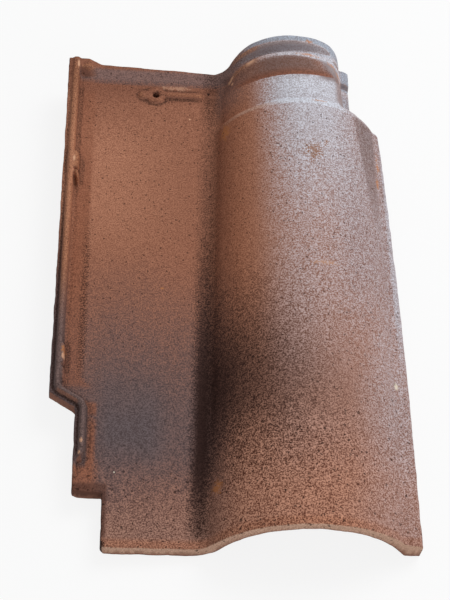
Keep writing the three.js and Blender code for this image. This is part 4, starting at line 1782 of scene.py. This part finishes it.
@dataclass(frozen=True)
class RubbedCrests(Layer):
    """Crests that handling rubbed down to the orange clay."""

    orange: Tone = Tone(display(186, 128, 92), 1.6)
    crests: Patch = Patch(crest=(0.35, 1.3), share=0.3)
    smoked_less: float = 0.8
    rubbed: Patch = Patch(x=(156.0, 148.0), y=(392.0, 397.0))
    roll_less: float = 0.85
    roll_more: float = 1.2

    def lay(self, under: Input, at: Ground) -> Input:
        """Lays the wear over the finish."""
        spared = at.on_roll * self.rubbed.off(at) * self.roll_less
        worn = self.crests.over(at) * (1.0 - at.smoked * self.smoked_less) * (1.0 - spared)
        return self.orange.lay(under, worn * (1.0 + at.on_roll * self.roll_more), at.pepper)


@dataclass(frozen=True)
class Creases(Layer):
    """Dark lines in the creases by the boss, the lugs and the ledge: painted shade, with some dust."""

    dark: Tone = Tone(display(58, 38, 32), 1.4)
    crease: Patch = Patch(crest=(-0.3, -1.1))
    crease_share: float = 0.4
    less_middle: Patch = Patch(y=(110.0, 140.0, 280.0, 320.0), share=0.22)
    less_head: Patch = Patch(y=(402.0, 408.0), share=0.6)
    # Painted shade on the lower side of the boss and the ridge, which faces the nose.
    boss: Patch = Patch(
        x=(50.0, 56.0, 104.0, 112.0), y=(386.0, 389.0, 408.0, 411.0), crest=(-0.12, -0.5), share=0.6
    )
    less_boss: Patch = Patch(slope=(0.02, 0.2), share=0.8)
    lug: Patch = Patch(inset=(15.0, 13.0), crest=(-0.25, -0.8), share=0.55)
    lower_lug: Patch = Patch(y=(132.0, 135.0, 160.0, 163.0))
    upper_lug: Patch = Patch(y=(310.0, 313.0, 335.0, 338.0))
    ledge: Patch = Patch(inset=(1.0, 1.8, 3.2, 4.4), crest=(-0.2, -0.8))
    ledge_share: float = 0.7
    less_ledge: Patch = Patch(y=(240.0, 320.0), share=0.4)
    less_ledge_head: Patch = Patch(y=(350.0, 400.0), share=0.2)
    within: Patch = Patch(from_roll=(-9.0, -16.0), inset=(0.5, 1.5))

    def lay(self, under: Input, at: Ground) -> Input:
        """Lays the lines over the finish."""
        lines = self.crease.over(at) * (self.crease_share - self.less_middle.over(at))
        boss = self.boss.over(at) * self.less_boss.off(at)
        lugs = self.lug.over(at) * (self.lower_lug.over(at) | self.upper_lug.over(at))
        along = self.ledge_share - self.less_ledge.over(at) - self.less_ledge_head.over(at)
        lines = (lines * self.less_head.off(at)) | boss | lugs | (self.ledge.over(at) * along)
        return self.dark.lay(under, lines * self.within.over(at), at.grit)


@dataclass(frozen=True)
class Grain(Layer):
    """A fine speckle over the whole tile, coarser at the nose and calmer on walls."""

    depth: float = 0.56
    roll: Patch = Patch(y=(120.0, 60.0), share=0.7)
    less_right: Patch = Patch(x=(180.0, 250.0), share=0.7)
    pan: Patch = Patch(y=(60.0, 8.0), share=0.4)
    less_wall: Patch = Patch(slope=(-0.45, -0.85), share=0.6)
    valley: Patch = Patch(from_roll=(-14.0, -7.0, 1.0, 8.0), share=0.2)
    cloudiness: float = 0.25
    red: float = 0.9
    green: float = 1.05
    blue: float = 1.1

    def lay(self, under: Input, at: Ground) -> Input:
        """Multiplies the colour below by the speckle."""
        depth = self.depth + at.on_roll * self.roll.over(at) * self.less_right.off(at)
        depth = depth + (1.0 - at.on_roll) * self.pan.over(at)
        depth = depth * self.less_wall.off(at) - self.valley.over(at)
        shift = (at.pepper + at.blotch * self.cloudiness) * depth
        shares = {"Red": self.red, "Green": self.green, "Blue": self.blue}
        tones = {channel: 1.0 + shift * share for channel, share in shares.items()}
        tone = shift.sheet.node("ShaderNodeCombineColor", {}, tones).outputs[0]
        return shift.sheet.mix(1.0, under, tone, "MULTIPLY")


@dataclass(frozen=True)
class Pits:
    """Two sizes of dark pits in the slip, fewer on the collar and in the smoke."""

    colour: Colour = display(46, 28, 23)
    fine_size: float = 3.4
    fine_picked: float = 0.6
    fine_radius: float = 0.3
    fine_share: float = 0.6
    coarse_size: float = 5.5
    coarse_picked: float = 0.7
    coarse_radius: float = 0.26
    coarse_share: float = 0.75
    less_coarse: Patch = Patch(y=(20.0, 210.0), share=0.7)
    less_collar: Patch = Patch(y=(357.0, 361.0), share=0.8)
    less_smoked: Patch = Patch(y=(40.0, 90.0, 120.0, 230.0), share=0.55)

    def share(self, at: Ground) -> Value:
        """How deep the pits are at each place.

        Args:
            at: what is known of each place.

        Returns:
            The share.
        """
        speckle = at.pepper.sheet.speckle
        fine = speckle(at.place, self.fine_size, self.fine_picked, self.fine_radius, at.pepper)
        coarse = speckle(at.place, self.coarse_size, self.coarse_picked, self.coarse_radius, at.pepper)
        coarse = coarse * self.less_coarse.off(at) * self.coarse_share
        pits = ((fine * self.fine_share) | coarse) * at.glazed
        pits = pits * (1.0 - self.less_collar.over(at) * at.on_roll)
        return pits * (1.0 - self.less_smoked.over(at) * (1.0 - at.on_roll))


@dataclass(frozen=True)
class SpotPaint:
    """How single marks are coloured, and how ragged and strong soft and crisp ones are."""

    edge: Rise = (1.05, 0.35)
    soft_ragged: float = 0.75
    soft_share: float = 0.72
    crisp_ragged: float = 0.35
    crisp_share: float = 0.95

    def lay(self, under: Input, at: Ground, spot: Spot) -> Input:
        """Paints one mark over the colour below.

        Args:
            under: the colour below.
            at: what is known of each place.
            spot: the mark.

        Returns:
            The colour with the mark on it.
        """
        sheet = at.pepper.sheet
        offset = sheet.vector("SUBTRACT", at.place, (spot.x, spot.y, 0.0))
        scaled = sheet.vector("MULTIPLY", offset, (1.0 / spot.across, 1.0 / spot.along, 0.0))
        apart = sheet.value("ShaderNodeVectorMath", {"operation": "LENGTH"}, {0: scaled}, "Value")
        soft = spot.kind in (Mark.OCHRE, Mark.RUST, Mark.SCUFF, Mark.LUMP)
        ragged = apart + (at.pepper + at.blotch) * (self.soft_ragged if soft else self.crisp_ragged)
        share = ragged.ease(*self.edge) * (self.soft_share if soft else self.crisp_share)
        return sheet.mix(share, under, MARK_COLOURS[spot.kind])


@dataclass(frozen=True)
class FiredClay:
    """Matt fired clay: slip, smoke, bloom, wear, painted sheen and shade, and a fine speckle over all of
    it.
    """

    pan: Colour = display(159, 106, 83)
    crown: Colour = display(174, 123, 101)
    body: Colour = display(164, 116, 96)
    body_dull: Colour = display(138, 98, 82)
    pan_slip: PanSlip = PanSlip()
    roll_slip: RollSlip = RollSlip()
    layers: tuple[Layer, ...] = (
        PanSmoke(),
        RollSmoke(),
        Channels(),
        BloomAndSheen(),
        CollarSheenAndBloom(),
        MarginWear(),
        WallShade(),
        NoseShadeAndWear(),
        RubbedCrests(),
        Creases(),
    )
    grain: Grain = Grain()
    marks: SpotPaint = SpotPaint()
    pits: Pits = Pits()
    roughness: float = 0.8
    roughness_spread: float = 0.12
    gloss: float = 0.1
    relief: float = 0.5
    relief_height: float = 0.0006
    pepper_height: float = 0.22
    blotch_height: float = 0.14
    pit_depth: float = 0.8

    def build(self, spots: Iterable[Spot], roll_start: float, roll_shift: float) -> bpy.types.Material:
        """Makes the material.

        Args:
            spots: marks to colour.
            roll_start: where the roll's left foot stands at the nose.
            roll_shift: how far that foot shifts for each millimetre along the tile.

        Returns:
            The material.
        """
        sheet = ShaderSheet(bpy.data.materials.new(SLOT))
        at = Ground.read(sheet, roll_start, roll_shift)
        pan = self.pan_slip.lay(self.pan, at)
        colour = sheet.mix(at.on_roll, pan, self.roll_slip.lay(self.crown, at))
        for layer in self.layers:
            colour = layer.lay(colour, at)
        bare = sheet.mix(at.blotch + 0.5, self.body_dull, self.body)
        colour = sheet.mix(1.0 - at.glazed, colour, bare)
        colour = self.grain.lay(colour, at)
        for spot in spots:
            colour = self.marks.lay(colour, at, spot)
        pits = self.pits.share(at)
        colour = sheet.mix(pits, colour, self.pits.colour)
        height = at.pepper * self.pepper_height + at.blotch * self.blotch_height - pits * self.pit_depth
        lift = {"Strength": self.relief, "Distance": self.relief_height, "Height": height}
        look = {
            "Base Color": colour,
            "Roughness": self.roughness + at.pepper * self.roughness_spread,
            "Normal": sheet.node("ShaderNodeBump", {}, lift).outputs[0],
            "Specular IOR Level": self.gloss,
        }
        surface = sheet.node("ShaderNodeBsdfPrincipled", {}, look)
        sheet.node("ShaderNodeOutputMaterial", {}, {0: surface.outputs[0]})
        return sheet.owner


@dataclass(frozen=True)
class PaleFloor:
    """A plain pale floor, which reads white and keeps the tile's shadow."""

    colour: Colour = (0.92, 0.92, 0.92)
    glow: float = 0.86
    half_width: float = 6.0

    def build(self) -> bpy.types.Object:
        sheet = ShaderSheet(bpy.data.materials.new("pale_floor"))
        path = sheet.node("ShaderNodeLightPath", {}, {})
        seen = Value(sheet, path.outputs["Is Camera Ray"]) * self.glow
        matt = sheet.node("ShaderNodeBsdfDiffuse", {}, {0: self.colour})
        white = sheet.node("ShaderNodeEmission", {}, {0: WHITE, 1: 1.0})
        inputs = {0: seen, 1: matt.outputs[0], 2: white.outputs[0]}
        both = sheet.node("ShaderNodeMixShader", {}, inputs)
        sheet.node("ShaderNodeOutputMaterial", {}, {0: both.outputs[0]})
        reach = self.half_width
        corners = [(-reach, -reach, 0), (reach, -reach, 0), (reach, reach, 0), (-reach, reach, 0)]
        mesh = bpy.data.meshes.new("floor")
        mesh.from_pydata(corners, [], [(0, 1, 2, 3)])
        mesh.materials.append(sheet.owner)
        floor = bpy.data.objects.new("floor", mesh)
        bpy.context.scene.collection.objects.link(floor)
        return floor


# ------------------------------------------------------------------------------ the fired tile


@dataclass
class FiredTile:
    """The whole tile: one piece of fired clay."""

    name: str = "fired_tile"
    sheet: Sheet = Sheet()
    last_settle: float = 0.2
    crest_size: float = 3.0
    crest_softness: float = 0.5
    under_limit: float = -0.8
    glazed_depth: Rise = (-7.0, -3.0)
    roll_start_share: float = 0.98
    roll_full_share: float = 0.6
    spots: tuple[Spot, ...] = (
        Spot(Mark.CHIP, 8.9, 144.0, 1.4, 3.8, 0.4),
        Spot(Mark.RUST, 8.6, 149.5, 1.8, 3.2),
        Spot(Mark.CHIP, 24.7, 76.5, 1.4, 2.4, 0.5),
        Spot(Mark.CHIP, 23.6, 67.5, 1.0, 2.0, 0.4),
        Spot(Mark.CHIP, 147.0, 410.5, 3.4, 3.0, 0.5),
        Spot(Mark.CHIP, 133.1, 409.0, 2.2, 2.2, 0.4),
        Spot(Mark.CHIP, 8.7, 324.0, 1.1, 4.0, 0.3),
        Spot(Mark.CHIP, 8.0, 423.0, 1.3, 4.5, 0.2),
        Spot(Mark.CHIP, 132.6, 407.8, 1.2, 1.8),
        Spot(Mark.CHIP, 133.9, 403.4, 1.0, 1.5),
        Spot(Mark.SCUFF, 90.0, 409.5, 13.0, 2.4),
        Spot(Mark.SCUFF, 198.0, 210.0, 11.0, 1.8),
        Spot(Mark.RUST, 80.0, 211.2, 1.3, 0.9),
        Spot(Mark.RUST, 201.0, 368.5, 7.5, 1.4),
        Spot(Mark.PIT, 41.6, 3.0, 2.6, 2.6),
        # Dark paint over the nail hole: painted shade inside the bore.
        Spot(Mark.PIT, 72.3, 400.2, 3.3, 3.3),
        Spot(Mark.PIT, 80.0, 374.7, 0.9, 0.9, 0.4),
        Spot(Mark.CHIP, 100.3, 377.4, 1.1, 1.1),
        Spot(Mark.LUMP, 119.0, 401.4, 5.0, 2.2, -0.8),
        Spot(Mark.RUST, 223.4, 407.8, 1.7, 3.6),
        Spot(Mark.RUST, 212.6, 408.6, 3.6, 1.9),
        Spot(Mark.RUST, 219.0, 405.0, 4.2, 1.8),
        Spot(Mark.OCHRE, 193.3, 315.3, 7.0, 9.0),
        Spot(Mark.OCHRE, 203.8, 323.5, 2.4, 3.6),
        Spot(Mark.RUST, 128.2, 355.0, 3.2, 7.5),
        Spot(Mark.RUST, 250.3, 329.8, 1.4, 9.0),
        Spot(Mark.RUST, 248.7, 309.0, 1.4, 7.0),
        Spot(Mark.RUST, 192.7, 410.5, 9.0, 1.6),
        Spot(Mark.RUST, 194.0, 424.7, 3.0, 1.8),
        Spot(Mark.RUST, 119.4, 41.5, 3.2, 5.5),
        Spot(Mark.LIME, 48.5, 56.9, 0.65, 0.65),
        Spot(Mark.LIME, 249.6, 124.4, 2.0, 3.4),
        Spot(Mark.PIT, 115.7, 405.0, 1.4, 1.4, 0.8),
    )

    def build(self, node: bpy.types.Object) -> bpy.types.Object:
        """Presses, meshes, dresses and sets down the tile.

        Args:
            node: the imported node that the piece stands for.

        Returns:
            The piece.
        """
        sheet = self.sheet
        outline = Outline(sheet)
        head = PanHead(sheet)
        nibs = Nibs(sheet)
        relief = Relief(sheet.width, sheet.length)
        sheet.press(relief)
        outline.press(relief)
        LeftMargin(outline).press(relief)
        head.press(relief)
        Wear(self.spots).press(relief)
        body = Body(relief, nibs, head)
        lowest = (0.0, 0.0, -nibs.depth)
        highest = (sheet.width, sheet.length, sheet.rib_crown)
        mesh = Mesher().build(body, lowest, highest, self.name)
        self.store(mesh, body)
        mesh.transform(Rest(sheet, nibs).placement(node))
        mesh.shade_smooth()
        mesh.materials.clear()
        roll_start = sheet.roll_left_at_nose
        roll_shift = (sheet.roll_left_at_step - roll_start) / sheet.step_y
        mesh.materials.append(FiredClay().build(self.spots, roll_start, roll_shift))
        piece = bpy.data.objects.new(self.name, mesh)
        bpy.context.scene.collection.objects.link(piece)
        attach(piece, "root")
        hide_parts(NODE)
        return piece

    def store(self, mesh: bpy.types.Mesh, body: Body) -> None:
        """Keeps places and facings at the vertices, for the finish to read.

        Args:
            mesh: the mesh to mark.
            body: the body that it came from.
        """
        flat = np.empty(len(mesh.vertices) * 3)
        mesh.vertices.foreach_get("co", flat)
        points = body.settle(flat.reshape(-1, 3), rounds=1, longest=self.last_settle)
        mesh.vertices.foreach_set("co", points.ravel())
        slope = body.slope(points)
        facing = slope / np.maximum(np.linalg.norm(slope, axis=1, keepdims=True), 1e-9)
        upper, lower, _ = body.faces(*points.T)
        relief = body.relief
        raised = relief.top - relief.soften(relief.top, self.crest_size)
        maps = relief.sampler([relief.soften(raised, self.crest_softness), relief.sheltered, relief.inset])
        crest, sheltered, inset = maps(points[:, 0], points[:, 1])
        glazed = ease(upper - lower, *self.glazed_depth)
        outer = self.sheet.outer_roll(points[:, 1])
        roll_start = outer.centre_x - self.roll_start_share * outer.radius
        roll_full = outer.centre_x - self.roll_full_share * outer.radius
        self.store_vector(mesh, "place", points)
        self.store_vector(mesh, "facing", facing)
        self.store_number(mesh, "crest", np.where(upper > self.under_limit, crest, 0.0))
        self.store_number(mesh, "glazed", glazed)
        self.store_number(mesh, "on_roll", ease(points[:, 0], roll_start, roll_full))
        self.store_number(mesh, "sheltered", sheltered)
        self.store_number(mesh, "inset", inset)

    def store_vector(self, mesh: bpy.types.Mesh, name: str, values: Array) -> None:
        """Keeps one vector at each vertex."""
        layer = mesh.attributes.new(name, "FLOAT_VECTOR", "POINT")
        layer.data.foreach_set("vector", values.astype(np.float32).ravel())

    def store_number(self, mesh: bpy.types.Mesh, name: str, values: Array) -> None:
        """Keeps one number at each vertex."""
        layer = mesh.attributes.new(name, "FLOAT", "POINT")
        layer.data.foreach_set("value", values.astype(np.float32).ravel())


# ------------------------------------------------------------------------------ light and view


@dataclass(frozen=True)
class SoftLamp:
    """A large soft lamp that looks at the tile."""

    name: str
    place: tuple[float, float, float]
    size: float
    power: float
    colour: Colour = WHITE

    def build(self) -> bpy.types.Object:
        """Hangs the lamp and turns it to the origin."""
        light = bpy.data.lights.new(self.name, "AREA")
        light.size = self.size
        light.energy = self.power
        light.color = self.colour
        lamp = bpy.data.objects.new(self.name, light)
        lamp.location = self.place
        lamp.rotation_euler = (-Vector(self.place)).to_track_quat("-Z", "Y").to_euler()
        bpy.context.scene.collection.objects.link(lamp)
        return lamp


@dataclass(frozen=True)
class Studio:
    """Plain soft light from above and behind, with an even pale surround."""

    surround: float = 0.3
    lamps: tuple[SoftLamp, ...] = (
        SoftLamp("high_lamp", (0.9, 0.8, 1.5), 1.2, 22.0, (0.97, 0.985, 1.0)),
        SoftLamp("near_lamp", (0.5, -1.5, 0.9), 1.2, 6.0),
    )

    def build(self) -> None:
        """Hangs the lamps and sets the surround, which the camera sees as white."""
        for lamp in self.lamps:
            lamp.build()
            log.info("lamp %s", lamp.name)
        sheet = ShaderSheet(bpy.data.worlds.new("surround"))
        path = sheet.node("ShaderNodeLightPath", {}, {})
        dim = sheet.node("ShaderNodeBackground", {}, {"Color": WHITE, "Strength": self.surround})
        white = sheet.node("ShaderNodeBackground", {}, {"Color": WHITE, "Strength": 1.0})
        inputs = {0: path.outputs["Is Camera Ray"], 1: dim.outputs[0], 2: white.outputs[0]}
        both = sheet.node("ShaderNodeMixShader", {}, inputs)
        sheet.node("ShaderNodeOutputWorld", {}, {0: both.outputs[0]})
        bpy.context.scene.world = sheet.owner


@dataclass(frozen=True)
class Viewpoint:
    """The camera, placed in the tile's own frame and carried down with the tile."""

    place: tuple[float, float, float] = (36.8, -397.2, 943.0)
    elevation: float = 56.9
    yaw: float = 8.6
    roll: float = 9.6
    focal_pixels: float = 1472.4

    def axes(self) -> tuple[Vector, Vector, Vector]:
        """The camera's right, up and backward directions in the tile's frame."""
        elevation, yaw, roll = np.radians((self.elevation, self.yaw, self.roll))
        level_reach = np.cos(elevation)
        forward = Vector((np.sin(yaw) * level_reach, np.cos(yaw) * level_reach, -np.sin(elevation)))
        level = Vector((np.cos(yaw), -np.sin(yaw), 0.0))
        over = level.cross(forward)
        right = level * np.cos(roll) + over * np.sin(roll)
        up = over * np.cos(roll) - level * np.sin(roll)
        return right, up, -forward

    def build(self, placement: Matrix) -> bpy.types.Object:
        """Makes the scene's camera.

        Args:
            placement: matrix from the tile's own frame to the frame in metres.

        Returns:
            The camera.
        """
        turn = placement.to_3x3().normalized()
        right, up, back = (turn @ axis for axis in self.axes())
        lens = bpy.data.cameras.new("view")
        lens.sensor_fit = "VERTICAL"
        lens.sensor_height = SENSOR_HEIGHT
        lens.lens = SENSOR_HEIGHT * self.focal_pixels / IMAGE_HEIGHT
        camera = bpy.data.objects.new("view", lens)
        axes = Matrix((right, up, back)).transposed().to_4x4()
        camera.matrix_world = Matrix.Translation(placement @ Vector(self.place)) @ axes
        bpy.context.scene.collection.objects.link(camera)
        bpy.context.scene.camera = camera
        return camera


def main() -> None:
    """Builds the tile, its stage, its light and its camera."""
    logging.basicConfig(level=logging.INFO, format="%(name)s: %(message)s")
    bpy.context.scene.view_settings.view_transform = "Standard"
    tile = FiredTile()
    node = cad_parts[NODE]
    piece = tile.build(node)
    log.info("%s: %d faces", piece.name, len(piece.data.polygons))
    PaleFloor().build()
    log.info("floor")
    Studio().build()
    Viewpoint().build(Rest(tile.sheet, Nibs(tile.sheet)).placement(node))
    log.info("camera")


if __name__ == "__main__":
    main()
